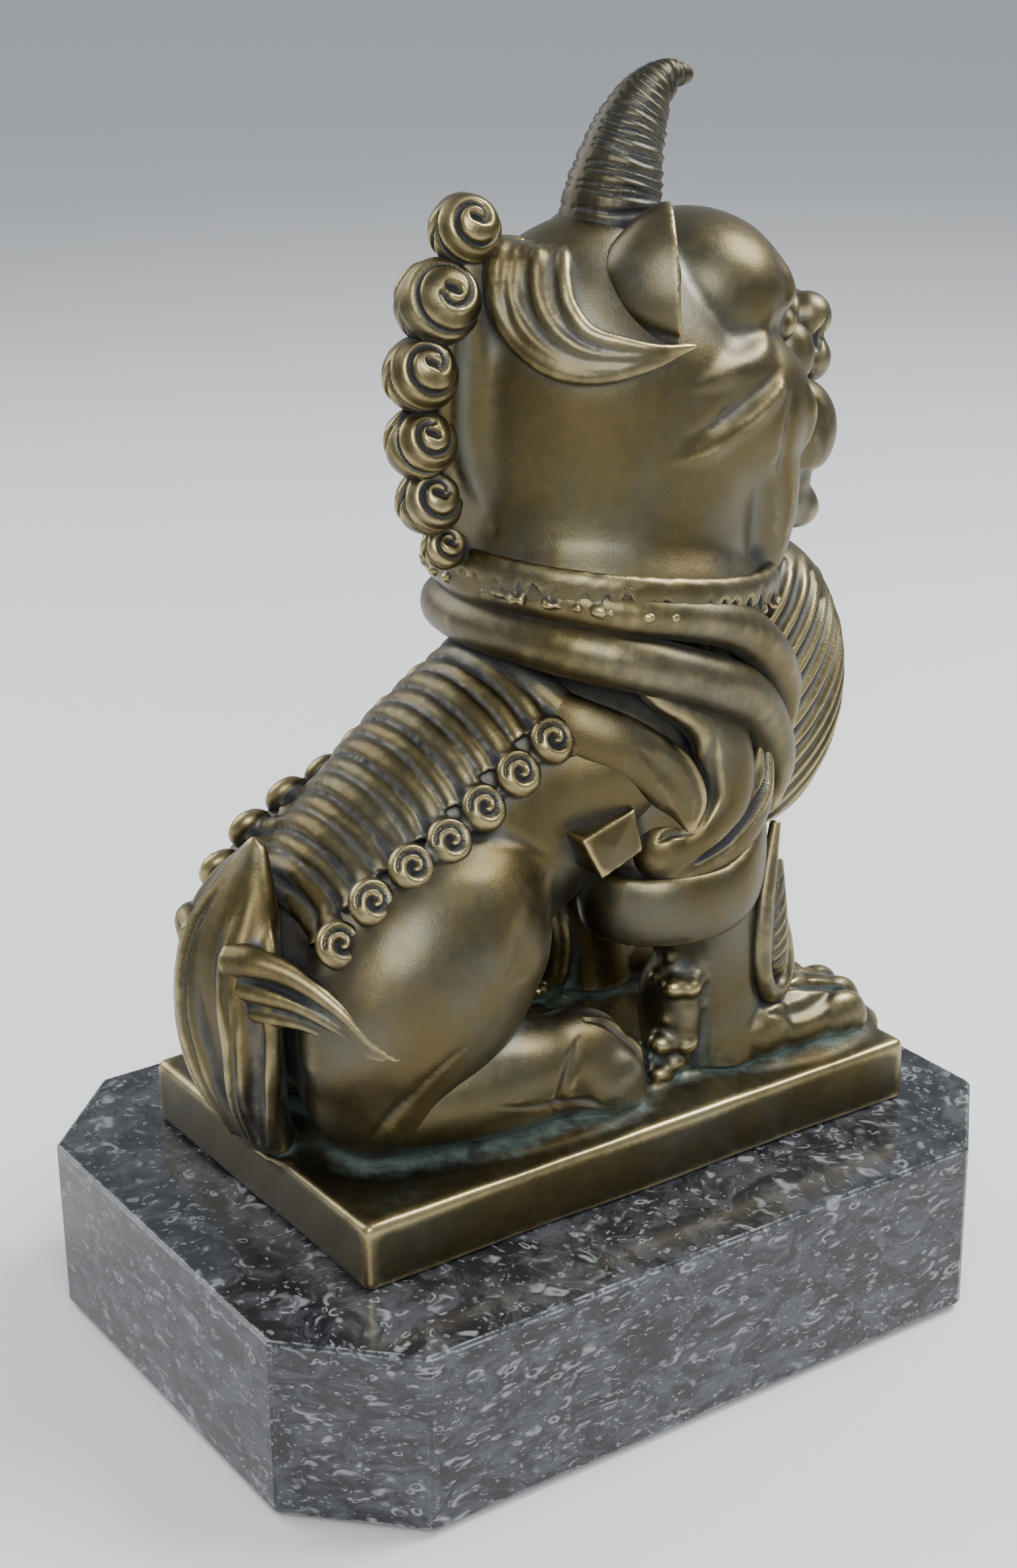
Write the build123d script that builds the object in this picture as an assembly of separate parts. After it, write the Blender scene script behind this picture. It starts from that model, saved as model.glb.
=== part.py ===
from build123d import *
import math
import os

# A seated guardian beast in bronze on a cut-corner marble plinth.
# +X is the beast's left, -Y its front, +Z up; the origin is the middle of the underside.
# The bronze is a set of hollow and solid castings that meet face to face.
# Every length is in millimetres and every angle in degrees.

# plinth and its felt
PLINTH_WIDTH = 106.0
PLINTH_LENGTH = 140.0
PLINTH_HEIGHT = 30.0
CORNER_CUT = 17.0
ARRIS = 0.5
FELT_THICKNESS = 1.0
FELT_INSET = 2.5

# bronze ground plate, a pan that is open underneath
PLATE_WIDTH = 68.0
PLATE_LENGTH = 107.5
PLATE_HEIGHT = 11.0
PLATE_CENTRE_Y = -2.6
PLATE_EDGE_RADIUS = 1.2
PLATE_WALL = 4.0

# two studs hold the bronze to the marble
STUD_RADIUS = 3.0
STUD_SPACING = 62.0
STUD_HOLE_RADIUS = 3.5
BOSS_RADIUS = 7.0
COUNTERBORE_RADIUS = 10.0
COUNTERBORE_DEPTH = 11.0
WASHER_RADIUS = 9.0
WASHER_THICKNESS = 1.6
NUT_ACROSS_FLATS = 10.0
NUT_HEIGHT = 5.0
STUD_TAIL = 2.0

# the beast
BEAST_HEIGHT = 203.0
CASTING_WALL = 4.5
SPINE_STRIPS = 14
STRIP_RADIUS = 1.9
SCROLL_RADIUS = 3.1
HAIR_RADIUS = 3.3
MANE_RADIUS = 4.0
POLE_LATITUDE = 83

MARBLE_BOTTOM = FELT_THICKNESS
MARBLE_TOP = FELT_THICKNESS + PLINTH_HEIGHT
GROUND = MARBLE_TOP + PLATE_HEIGHT
STUD_PLACES = [(0, PLATE_CENTRE_Y - STUD_SPACING / 2), (0, PLATE_CENTRE_Y + STUD_SPACING / 2)]


def ellipsoid(centre, radii, turn=(0, 0, 0)):
    """A ball with a small flat at each pole, stretched to three radii, turned and then placed."""
    ball = Sphere(1, arc_size1=-POLE_LATITUDE, arc_size2=POLE_LATITUDE)
    return Location(centre, turn) * scale(ball, by=radii)


def limb(stations, across=(1, 0, 0)):
    """A skin over ellipses: each station is a centre, the two radii and the way the limb runs."""
    sections = []
    for centre, radii, heading in stations:
        plane = Plane(origin=centre, x_dir=across, z_dir=heading)
        sections.append(plane * Ellipse(*radii))
    return loft(sections)


def limb_along(points, radii, across=(1, 0, 0)):
    """A limb whose headings follow its own centre points."""
    stations = []
    for i, (point, pair) in enumerate(zip(points, radii)):
        before = Vector(points[max(i - 1, 0)])
        after = Vector(points[min(i + 1, len(points) - 1)])
        stations.append((point, pair, (after - before).normalized()))
    return limb(stations, across)


def mirrored(shape):
    """The same piece on the other side of the middle plane."""
    return mirror(shape, about=Plane.YZ)


def cut_corner_outline(width, length, cut):
    half_w, half_l = width / 2, length / 2
    corners = [
        (half_w, half_l - cut), (half_w - cut, half_l),
        (cut - half_w, half_l), (-half_w, half_l - cut),
        (-half_w, cut - half_l), (cut - half_w, -half_l),
        (half_w - cut, -half_l), (half_w, cut - half_l),
    ]
    return make_face(Polyline(*corners, close=True))


def upright(radius, low, high, place):
    """A round bar or hole that stands at a place in plan, from one height to another."""
    return Pos(place[0], place[1], (low + high) / 2) * Cylinder(radius, high - low)


# ---- plinth, felt and fastenings

def felt_pad():
    outline = cut_corner_outline(
        PLINTH_WIDTH - 2 * FELT_INSET, PLINTH_LENGTH - 2 * FELT_INSET, CORNER_CUT - FELT_INSET * 0.6)
    return extrude(outline, FELT_THICKNESS)


def marble_plinth():
    outline = cut_corner_outline(PLINTH_WIDTH, PLINTH_LENGTH, CORNER_CUT)
    block = Pos(0, 0, MARBLE_BOTTOM) * extrude(outline, PLINTH_HEIGHT)
    block = chamfer(block.edges(), ARRIS)
    for place in STUD_PLACES:
        block -= upright(STUD_HOLE_RADIUS, MARBLE_BOTTOM, MARBLE_TOP, place)
        block -= upright(COUNTERBORE_RADIUS, MARBLE_BOTTOM, MARBLE_BOTTOM + COUNTERBORE_DEPTH, place)
    return block


def ground_plate():
    centre = (0, PLATE_CENTRE_Y, MARBLE_TOP + PLATE_HEIGHT / 2)
    slab = Location(centre) * Box(PLATE_WIDTH, PLATE_LENGTH, PLATE_HEIGHT)
    slab = fillet(slab.edges().filter_by(Axis.Z) + slab.edges().group_by(Axis.Z)[-1], PLATE_EDGE_RADIUS)
    hollow_height = PLATE_HEIGHT - PLATE_WALL
    hollow = Pos(0, PLATE_CENTRE_Y, MARBLE_TOP + hollow_height / 2) * Box(
        PLATE_WIDTH - 2 * PLATE_WALL, PLATE_LENGTH - 2 * PLATE_WALL, hollow_height)
    slab -= hollow
    for place in STUD_PLACES:
        slab += upright(BOSS_RADIUS, MARBLE_TOP, MARBLE_TOP + hollow_height, place)
        slab -= upright(STUD_RADIUS, MARBLE_TOP, MARBLE_TOP + hollow_height, place)
    return slab


def mounting_studs():
    seat = MARBLE_BOTTOM + COUNTERBORE_DEPTH - WASHER_THICKNESS - NUT_HEIGHT
    top = MARBLE_TOP + PLATE_HEIGHT - PLATE_WALL
    studs = []
    for place in STUD_PLACES:
        rod = upright(STUD_RADIUS, seat - STUD_TAIL, top, place)
        studs.append(chamfer(rod.edges().group_by(Axis.Z)[0], 0.6))
    return studs


def stud_washers():
    top = MARBLE_BOTTOM + COUNTERBORE_DEPTH
    bottom = top - WASHER_THICKNESS
    return [
        upright(WASHER_RADIUS, bottom, top, place) - upright(STUD_RADIUS + 0.2, bottom, top, place)
        for place in STUD_PLACES
    ]


def stud_nuts():
    top = MARBLE_BOTTOM + COUNTERBORE_DEPTH - WASHER_THICKNESS
    nuts = []
    for place in STUD_PLACES:
        hexagon = RegularPolygon(NUT_ACROSS_FLATS / 2, 6, major_radius=False)
        nut = Pos(place[0], place[1], top - NUT_HEIGHT) * extrude(hexagon, NUT_HEIGHT)
        nuts.append(nut - upright(STUD_RADIUS, top - NUT_HEIGHT, top, place))
    return nuts


# ---- trunk and limbs

def torso():
    """Rump, barrel and chest in one hollow casting."""
    rump = ellipsoid((0, 29, 66), (19, 21, 25))
    barrel = limb([
        ((0, 32, 64), (18, 20), (0, -0.6, 0.8)),
        ((0, 14, 80), (20.5, 21.5), (0, -0.7, 0.7)),
        ((0, -4, 94), (21, 20.5), (0, -0.75, 0.66)),
        ((0, -20, 106), (17, 16), (0, -0.8, 0.6)),
    ])
    chest = ellipsoid((0, -25, 92), (18.5, 18, 22))
    return rump + barrel + chest


def torso_core():
    rump = ellipsoid((0, 29, 67), (19 - CASTING_WALL, 21 - CASTING_WALL, 19))
    chest = ellipsoid((0, -21, 94), (18.5 - CASTING_WALL, 17.5 - CASTING_WALL, 17))
    barrel = limb([
        ((0, 26, 69), (13.5, 15), (0, -0.6, 0.8)),
        ((0, 3, 87), (15.5, 15), (0, -0.7, 0.7)),
        ((0, -16, 98), (12, 11), (0, -0.8, 0.6)),
    ])
    return rump + barrel + chest


def haunch():
    """The right thigh, an egg that leans back from the knee."""
    return ellipsoid((-17, 27, 67), (13, 24.5, 20), (-42, 0, 0))


def hind_foot():
    shank = ellipsoid((-19, 24, 49), (9, 18, 7.5), (6, 0, 0))
    pad = ellipsoid((-18.5, 6, 49), (8.5, 10, 8.5))
    return shank + pad


def foreleg():
    return limb([
        ((-17.5, -35, 49), (8.0, 8.5), (0.0, 0.05, 1)),
        ((-17.5, -33, 60), (7.6, 8.2), (0.0, 0.12, 1)),
        ((-18.0, -30, 72), (9.0, 10.0), (0.0, 0.2, 1)),
        ((-17.0, -24, 88), (9.5, 13.0), (0.0, 0.3, 1)),
        ((-14.0, -18, 102), (7.0, 10.0), (0.0, 0.35, 1)),
    ])


def forepaw():
    """A broad paw with four toes side by side."""
    paw = ellipsoid((-19, -41, 49), (9.5, 13, 8.0))
    for toe in range(4):
        along = (toe - 1.5) / 1.5
        paw += ellipsoid((-19 + 6.6 * along, -50 + 2.2 * along * along, 46.5), (2.9, 4.6, 4.6))
    return paw


def neck():
    return limb([
        ((0, -14, 100), (17, 18), (0, -0.2, 1)),
        ((0, -14, 114), (19, 20), (0, -0.1, 1)),
        ((0, -15, 128), (20, 22), (0, -0.1, 1)),
    ])


# ---- dress of the chest and legs

def chest_bib():
    """The ribbed apron that swells out between the collar rolls."""
    return ellipsoid((0, -47, 95), (15.5, 19.5, 29), (8, 0, 0))


def collar_roll(height, drop, reach, thickness):
    """A roll that hangs down at the front on both sides and passes behind the neck."""
    right = [
        (-11.5, reach, height - drop),
        (-17.0, -41, height - 0.62 * drop),
        (-22.0, -28, height - 0.36 * drop),
        (-22.0, -11, height - 0.18 * drop),
        (-14.0, 2.5, height - 0.05 * drop),
    ]
    left = [(-x, y, z) for x, y, z in reversed(right)]
    line = Spline(*right, (0, 7.0, height), *left)
    profile = Plane(origin=line @ 0, z_dir=line % 0) * Circle(thickness)
    return sweep(profile, path=line)


def shoulder_drape():
    """A leaf of cloth that hangs from the collar and ends in a point in front of the elbow."""
    return ellipsoid((-17.5, -9, 97), (9.5, 17, 10.5), (-32, 0, 0))


def elbow_scroll():
    return ellipsoid((-19.5, -16, 83), (8.0, 8.5, 7.5))


def leg_band():
    """The broad cuff round the upper foreleg."""
    return limb([
        ((-17.5, -26, 66), (10.5, 15.5), (0.0, 0.3, 1)),
        ((-17.5, -25, 72), (11.5, 16.5), (0.0, 0.3, 1)),
        ((-17.5, -24, 78), (10.0, 14.0), (0.0, 0.3, 1)),
    ])


def leg_tassel():
    """A looped ribbon that falls down the front of the shin."""
    return ellipsoid((-20.5, -39.5, 66), (5, 5, 14), (14, 0, 0))


def side_tag():
    """A small four-sided ribbon end that stands out of the flank."""
    outline = make_face(Polyline((7.0, 92.0), (-6.5, 92.0), (-6.5, 84.5), (1.5, 82.5), close=True))
    return Pos(-27, 0, 0) * extrude(Plane.YZ * outline, 10)


# ---- back and tail

def spine_place(share):
    """A point on the ridge of the back, from the neck at 0 to the tail at 1, and its side fall."""
    y = 9.5 + 37.0 * share
    z = 115.0 - 13.0 * share - 14.5 * share ** 2.4
    return y, z


def spine_strips():
    """Fourteen straps over the back; every other one ends in a scroll on each side."""
    straps = []
    for number in range(SPINE_STRIPS):
        share = number / (SPINE_STRIPS - 1)
        y, z = spine_place(share)
        half = 20.5 - 4.5 * share
        fall = 9.0 + 2.0 * share
        arch = ThreePointArc((-half, y, z - fall), (0, y, z), (half, y, z - fall))
        profile = Plane(origin=arch @ 0, z_dir=arch % 0) * Circle(STRIP_RADIUS * 0.97)
        straps.append(sweep(profile, path=arch))
    return straps


def spine_scrolls():
    """The rolled ends of every other strap, on the right side."""
    scrolls = []
    for number in range(0, SPINE_STRIPS, 2):
        share = number / (SPINE_STRIPS - 1)
        y, z = spine_place(share)
        half = 22.0 - 4.5 * share
        fall = 11.5 + 2.0 * share
        scrolls.append(ellipsoid((-half, y, z - fall), (2.4, SCROLL_RADIUS, SCROLL_RADIUS)))
    return scrolls


def tail():
    return limb([
        ((0, 49, 44.0), (8, 3.5), (0, 0.25, 1)),
        ((0, 54, 58.0), (12, 6.5), (0, 0.2, 1)),
        ((0, 55, 74.0), (13, 7.5), (0, -0.1, 1)),
        ((0, 51, 86.0), (9, 6.0), (0, -0.4, 1)),
        ((0, 47, 93.0), (3, 2.5), (0, -0.5, 1)),
    ])


def tail_lock():
    """A lock of tail hair that sweeps forward over the rump and ends in a point."""
    path = [(-8, 54, 79), (-15, 53, 81), (-21, 49, 77), (-25, 44, 70), (-27, 39, 65)]
    return limb_along(path, [(6.0, 4.0), (6.0, 4.0), (5.0, 3.5), (3.2, 2.6), (1.0, 1.0)], across=(0, 0, 1))


# ---- head

def head():
    skull = limb([
        ((0, -17, 126), (23.0, 27), (0, 0, 1)),
        ((0, -18, 140), (22.5, 27), (0, 0, 1)),
        ((0, -19, 154), (22.5, 27), (0, 0, 1)),
        ((0, -22, 167), (21.0, 25), (0, 0, 1)),
        ((0, -25, 175), (16.0, 20), (0, 0, 1)),
        ((0, -28, 179), (8.0, 11), (0, 0, 1)),
    ])
    forehead = ellipsoid((0, -35, 166), (17, 18, 14))
    muzzle = ellipsoid((0, -46, 144), (14, 16, 14))
    return skull + forehead + muzzle


def head_core():
    return ellipsoid((0, -20, 150), (17, 21, 20))


def neck_frill():
    """The wavy hem under the cheeks."""
    return limb([
        ((0, -15.0, 120.5), (22.5, 26.5), (0, -0.08, 1)),
        ((0, -15.5, 123.0), (25.0, 29.5), (0, -0.08, 1)),
        ((0, -16.0, 127.0), (24.0, 28.5), (0, -0.08, 1)),
    ])


def horn():
    path = [(0, -20, 172), (0, -20, 181), (0, -22, 190), (0, -27, 197), (0, -33, 199.6)]
    return limb_along(path, [(7.5, 10), (7.0, 9.5), (5.8, 7.8), (3.8, 5.2), (1.4, 2.0)])


def horn_tip():
    return ellipsoid((0, -30, 199.4), (3.2, 4.4, BEAST_HEIGHT - 199.4), (0, 0, 0))


def ear():
    return ellipsoid((-22, -11, 174.5), (8, 7.5, 10), (0, 10, 0))


def hair_sweep():
    """The combed hair that runs from the crown, round behind the ear and forward under it."""
    line = Spline(
        (-7, 1.5, 177), (-10.5, 4, 170.5), (-15, 1.5, 165),
        (-19.5, -5, 162.5), (-22.5, -12, 163), (-23.5, -17, 163.5))
    profile = Plane(origin=line @ 0, z_dir=line % 0) * Circle(HAIR_RADIUS)
    return sweep(profile, path=line)


def nose():
    bridge = ellipsoid((0, -56, 159), (5, 6, 5.5))
    for side in (-1, 1):
        bridge += ellipsoid((side * 4.8, -58.5, 157), (4.5, 4.5, 5.0))
    return bridge


def brow():
    return ellipsoid((-9, -48, 169), (7, 5.5, 5))


def lower_jaw():
    return ellipsoid((0, -50, 130.5), (12, 12.5, 9))


def curl(place, radius):
    return Pos(*place) * Sphere(radius)


CURLS = [
    ((0, 8.4, 180.4), 5.3),
    ((0, 13.7, 170.1), 6.3),
    ((0, 16.8, 159.6), 5.5),
    ((0, 17.2, 149.3), 5.2),
    ((0, 15.9, 139.9), 4.8),
    ((0, 13.0, 132.4), 3.4),
]


def mane_ridge():
    """The crest down the nape that the curls sit on."""
    line = Spline((0, 3, 178), (0, 8.0, 170), (0, 11, 160), (0, 11.5, 150), (0, 10.5, 140), (0, 8.5, 132))
    profile = Plane(origin=line @ 0, z_dir=line % 0) * Circle(MANE_RADIUS)
    return sweep(profile, path=line)


# ---- assembly: each piece gives way to those that are listed before it

def solids_of(made):
    if isinstance(made, (list, tuple, ShapeList)):
        return [solid for item in made for solid in item.solids()]
    return list(made.solids())


def boxes_meet(one, other):
    a, b = one.bounding_box(), other.bounding_box()
    return all(
        low <= high
        for low, high in (
            (a.min.X, b.max.X), (b.min.X, a.max.X), (a.min.Y, b.max.Y),
            (b.min.Y, a.max.Y), (a.min.Z, b.max.Z), (b.min.Z, a.max.Z),
        )
    )


def give_way(solid, neighbours):
    """The largest solid that is left once every neighbour's room is taken out of this one."""
    for other in neighbours:
        if boxes_meet(solid, other):
            left = (solid - other).solids()
            solid = max(left, key=lambda piece: piece.volume)
    return solid


def pieces():
    """Name and shape of every part, the inner ones first; a pair gives only its right-hand one."""
    yield "felt_pad", felt_pad()
    yield "marble_plinth", marble_plinth()
    yield "bronze_ground_plate", ground_plate()
    yield "mounting_studs", mounting_studs()
    yield "stud_washers", stud_washers()
    yield "stud_nuts", stud_nuts()
    yield "torso", torso()
    yield "right_haunch", haunch()
    yield "right_hind_foot", hind_foot()
    yield "right_forepaw", forepaw()
    yield "right_foreleg", foreleg()
    yield "neck", neck()
    yield "chest_bib", chest_bib()
    yield "upper_collar_roll", collar_roll(125.0, 42.0, -49, 4.4)
    yield "lower_collar_roll", collar_roll(117.5, 45.0, -44, 4.8)
    yield "right_elbow_scroll", elbow_scroll()
    yield "right_leg_band", leg_band()
    yield "right_leg_tassel", leg_tassel()
    yield "right_shoulder_drape", shoulder_drape()
    yield "right_side_tag", side_tag()
    yield "spine_strips", spine_strips()
    yield "right_spine_scrolls", spine_scrolls()
    yield "tail", tail()
    yield "right_tail_lock", tail_lock()
    yield "head", head()
    yield "neck_frill", neck_frill()
    yield "lower_jaw", lower_jaw()
    yield "horn", horn() + horn_tip()
    yield "right_ear", ear()
    yield "right_hair_sweep", hair_sweep()
    yield "right_brow", brow()
    yield "nose", nose()
    yield "mane_ridge", mane_ridge()
    for number, (place, radius) in enumerate(CURLS, start=1):
        yield f"mane_curl_{number}", curl(place, radius)


CORES = {"torso": torso_core, "head": head_core}


def write(name, solids):
    shape = Compound(children=solids) if len(solids) > 1 else solids[0]
    export_step(shape, f"parts/{name}.step")
    print(name, len(solids), round(sum(solid.volume for solid in solids)), flush=True)


def main():
    os.makedirs("parts", exist_ok=True)
    placed = []
    for name, made in pieces():
        kept = []
        for solid in solids_of(made):
            kept.append(give_way(solid, placed + kept))
        placed += kept
        if name in CORES:
            kept = [max((kept[0] - CORES[name]()).solids(), key=lambda piece: piece.volume)]
        write(name, kept)
        if name.startswith("right_"):
            partners = [mirrored(solid) for solid in kept]
            placed += partners
            write(name.replace("right_", "left_"), partners)


main()
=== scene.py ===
# Seated guardian beast in rubbed bronze on a fossil-marble plinth.
# Pieces are modelled in millimetres and scaled to metres when they are cast.
import math

import bmesh
import bpy
import numpy as np
from mathutils import Euler, Matrix, Vector
from mathutils.bvhtree import BVHTree


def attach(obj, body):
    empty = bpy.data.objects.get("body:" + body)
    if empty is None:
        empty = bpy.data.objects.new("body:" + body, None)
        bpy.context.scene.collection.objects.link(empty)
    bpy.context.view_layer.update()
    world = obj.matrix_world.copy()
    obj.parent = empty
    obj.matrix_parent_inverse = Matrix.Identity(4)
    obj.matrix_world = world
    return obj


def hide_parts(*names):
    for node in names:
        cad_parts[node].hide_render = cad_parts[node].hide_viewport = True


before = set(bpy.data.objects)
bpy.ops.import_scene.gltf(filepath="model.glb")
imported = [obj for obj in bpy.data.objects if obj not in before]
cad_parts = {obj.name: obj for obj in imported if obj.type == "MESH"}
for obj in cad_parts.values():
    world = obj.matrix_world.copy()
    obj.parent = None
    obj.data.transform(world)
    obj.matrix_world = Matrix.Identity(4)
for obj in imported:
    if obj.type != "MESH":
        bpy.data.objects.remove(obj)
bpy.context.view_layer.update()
metre = 0.001
graph = bpy.context.evaluated_depsgraph_get


# modelling helpers

def lump(shape, centre, radii, turn=(0, 0, 0), detail=4):
    turned = Euler([math.radians(angle) for angle in turn]).to_matrix().to_4x4()
    place = Matrix.Translation(centre) @ turned @ Matrix.Diagonal((*radii, 1))
    return bmesh.ops.create_icosphere(shape, subdivisions=detail, radius=1, matrix=place)["verts"]


def flow(points, count):
    # a smooth run through the points, in as many steps as asked
    given = np.array(points, float)
    last = len(given) - 1
    padded = np.vstack([2 * given[0] - given[1], given, 2 * given[-1] - given[-2]])
    run = []
    for where in np.linspace(0, last, count):
        step = min(int(where), last - 1)
        t = where - step
        a, b, c, d = padded[step:step + 4]
        run.append(0.5 * (2 * b + (c - a) * t + (2 * a - 5 * b + 4 * c - d) * t * t
                          + (3 * b - a - 3 * c + d) * t ** 3))
    return np.array(run)


def rope(shape, points, across=(1, 0, 0), count=24, sides=16):
    # each point is x, y, z, the radius along across and the radius square to it
    rows = flow(points, count)
    heads = np.gradient(rows[:, :3], axis=0)
    strand = bmesh.new()
    edges, before = None, None
    for row, head in zip(rows, heads):
        ahead = Vector(head).normalized()
        beside = (Vector(across) - ahead * ahead.dot(Vector(across))).normalized()
        above = ahead.cross(beside)
        wide, deep = max(row[3], 0.08), max(row[4], 0.08)
        place = Matrix((beside * wide, above * deep, ahead)).transposed().to_4x4()
        place.translation = Vector(row[:3])
        if edges is None:
            bmesh.ops.create_circle(strand, cap_ends=True, segments=sides, radius=1, matrix=place)
            edges = strand.edges[:]
        else:
            grown = bmesh.ops.extrude_edge_only(strand, edges=edges)["geom"]
            ring = [item for item in grown if isinstance(item, bmesh.types.BMVert)]
            fresh = set(ring)
            edges = [item for item in grown if isinstance(item, bmesh.types.BMEdge)
                     and item.verts[0] in fresh and item.verts[1] in fresh]
            bmesh.ops.transform(strand, matrix=place @ before.inverted(), verts=ring)
        before = place
    bmesh.ops.contextual_create(strand, geom=edges)
    bmesh.ops.recalc_face_normals(strand, faces=strand.faces)
    add(shape, strand)


def add(shape, other):
    carrier = bpy.data.meshes.new("carrier")
    other.to_mesh(carrier)
    other.free()
    shape.from_mesh(carrier)
    bpy.data.meshes.remove(carrier)


def mirrorAcross(points):
    return [(-point[0], *point[1:]) for point in points]


def coil(centre, pole, reach, turns, start, count, squeeze=1.0):
    # a flat spiral round centre that winds in from the first reach to the second
    pole = Vector(pole).normalized()
    up = Vector(start)
    up = (up - pole * pole.dot(up)).normalized()
    side = up.cross(pole)
    line = []
    for share in np.linspace(0, 1, count):
        angle = share * turns * 2 * math.pi
        radius = reach[0] + (reach[1] - reach[0]) * share
        out = up * math.cos(angle) * radius + side * math.sin(angle) * radius * squeeze
        line.append(Vector(centre) + out)
    return line


def ballCoil(centre, pole, radius, turns, wide, tight, start):
    # a spiral on a ball, from wide degrees off the pole to tight
    pole = Vector(pole).normalized()
    up = Vector(start)
    up = (up - pole * pole.dot(up)).normalized()
    side = up.cross(pole)
    line = []
    for share in np.linspace(0, 1, 40):
        angle, lean = share * turns * 2 * math.pi, math.radians(wide + (tight - wide) * share)
        out = up * math.cos(angle) + side * math.sin(angle)
        line.append(Vector(centre) + (pole * math.cos(lean) + out * math.sin(lean)) * radius)
    return line


class Clay:
    # a fused lump of modelling clay that can be smoothed, grooved and ridged

    def __init__(self, shape, grain=0.5, soften=None):
        mesh = bpy.data.meshes.new("clay")
        shape.to_mesh(mesh)
        shape.free()
        if soften:
            mesh = self.fused(mesh, soften[0])
            self.take(mesh)
            self.relax(soften[1])
            self.give()
        self.grain = grain
        self.take(self.fused(mesh, grain))
        self.relax(2)

    def fused(self, mesh, grain):
        holder = bpy.data.objects.new("holder", mesh)
        bpy.context.collection.objects.link(holder)
        fuse = holder.modifiers.new("fuse", "REMESH")
        fuse.mode = "VOXEL"
        fuse.voxel_size = grain
        bpy.context.view_layer.update()
        done = bpy.data.meshes.new_from_object(holder.evaluated_get(graph()))
        bpy.data.objects.remove(holder)
        bpy.data.meshes.remove(mesh)
        return done

    def take(self, mesh):
        self.mesh = mesh
        self.at = np.empty(len(mesh.vertices) * 3, np.float32)
        mesh.vertices.foreach_get("co", self.at)
        self.at = self.at.reshape(-1, 3).astype(float)
        pairs = np.empty(len(mesh.edges) * 2, np.int32)
        mesh.edges.foreach_get("vertices", pairs)
        self.pairs = pairs.reshape(-1, 2)
        self.links = np.bincount(pairs, minlength=len(self.at)).astype(float)
        self.tree = None
        self.turnNormals()

    def give(self):
        self.mesh.vertices.foreach_set("co", self.at.astype(np.float32).ravel())
        self.mesh.update()

    def turnNormals(self):
        self.give()
        normals = np.empty(len(self.at) * 3, np.float32)
        self.mesh.vertices.foreach_get("normal", normals)
        self.normals = normals.reshape(-1, 3).astype(float)

    def around(self, values):
        # the average of each point's neighbours
        a, b = self.pairs[:, 0], self.pairs[:, 1]
        size = len(self.at)
        if values.ndim == 1:
            return (np.bincount(a, values[b], size) + np.bincount(b, values[a], size)) / self.links
        return np.stack([self.around(values[:, axis]) for axis in range(values.shape[1])], 1)

    def relax(self, rounds, amount=0.6, where=None):
        for turn in range(rounds):
            pull = (self.around(self.at) - self.at) * amount
            self.at += pull if where is None else pull * where[:, None]
        self.turnNormals()

    def lay(self, points, way="near"):
        # points drawn from the side (y, z), the front or back (x, z), or the top (x, y), put on the clay
        if self.tree is None:
            faces = [tuple(face.vertices) for face in self.mesh.polygons]
            self.tree = BVHTree.FromPolygons([tuple(spot) for spot in self.at], faces)
        laid = []
        for point in points:
            if way == "near":
                hit = self.tree.find_nearest(Vector(point))[0]
            else:
                start, heading = {
                    "side": lambda p: ((-200, p[0], p[1]), (1, 0, 0)),
                    "front": lambda p: ((p[0], -200, p[1]), (0, 1, 0)),
                    "back": lambda p: ((p[0], 200, p[1]), (0, -1, 0)),
                    "top": lambda p: ((p[0], p[1], 400), (0, 0, -1)),
                }[way](point)
                hit = self.tree.ray_cast(Vector(start), Vector(heading))[0]
                if hit is None:
                    continue
            laid.append(tuple(hit))
        return laid

    def stroke(self, points, width, depth, way="near", sharp=2.0, ends=(0.25, 0.25), both=True, count=None):
        # a groove where depth is below zero, a ridge where it is above
        laid = self.lay(points, way)
        if len(laid) < 2:
            return
        line = flow(laid, count or max(8, 5 * len(points)))
        at = self.at.copy()
        if both:
            at[:, 0] = -np.abs(at[:, 0])
        near = np.where(((at > line.min(0) - width) & (at < line.max(0) + width)).all(1))[0]
        if not len(near):
            return
        starts, spans = line[:-1], line[1:] - line[:-1]
        lengths = (spans ** 2).sum(1) + 1e-9
        for group in np.array_split(near, len(near) // 6000 + 1):
            away = at[group][:, None] - starts
            along = np.clip((away * spans).sum(2) / lengths, 0, 1)
            gap = ((away - along[..., None] * spans) ** 2).sum(2)
            best = gap.argmin(1)
            rows = np.arange(len(group))
            share = (best + along[rows, best]) / len(spans)
            taper = np.interp(share, [0, 0.3, 0.7, 1], [ends[0], 1, 1, ends[1]])
            fall = np.clip(1 - np.sqrt(gap[rows, best]) / (width * taper + 1e-6), 0, 1)
            fall = fall * fall * (3 - 2 * fall) if sharp == 2.0 else fall ** sharp
            self.at[group] += self.normals[group] * (depth * taper * fall)[:, None]

    def ripple(self, size, height, seed=0):
        # gentle unevenness from the modeller's hands
        offset = Vector((seed * 17.3, seed * 5.1, seed * 9.7))
        a = self.at / size
        wave = (np.sin(a[:, 0] * 2.1 + offset[0] + 1.7 * np.sin(a[:, 2] * 1.3 + offset[1]))
                * np.sin(a[:, 1] * 1.9 + offset[1] + 1.5 * np.sin(a[:, 0] * 1.1 + offset[2]))
                + 0.6 * np.sin(a[:, 2] * 2.3 + offset[2] + 1.3 * np.sin(a[:, 1] * 1.7)))
        self.at += self.normals * (wave * height * 0.6)[:, None]
        self.turnNormals()

    def wear(self):
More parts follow.
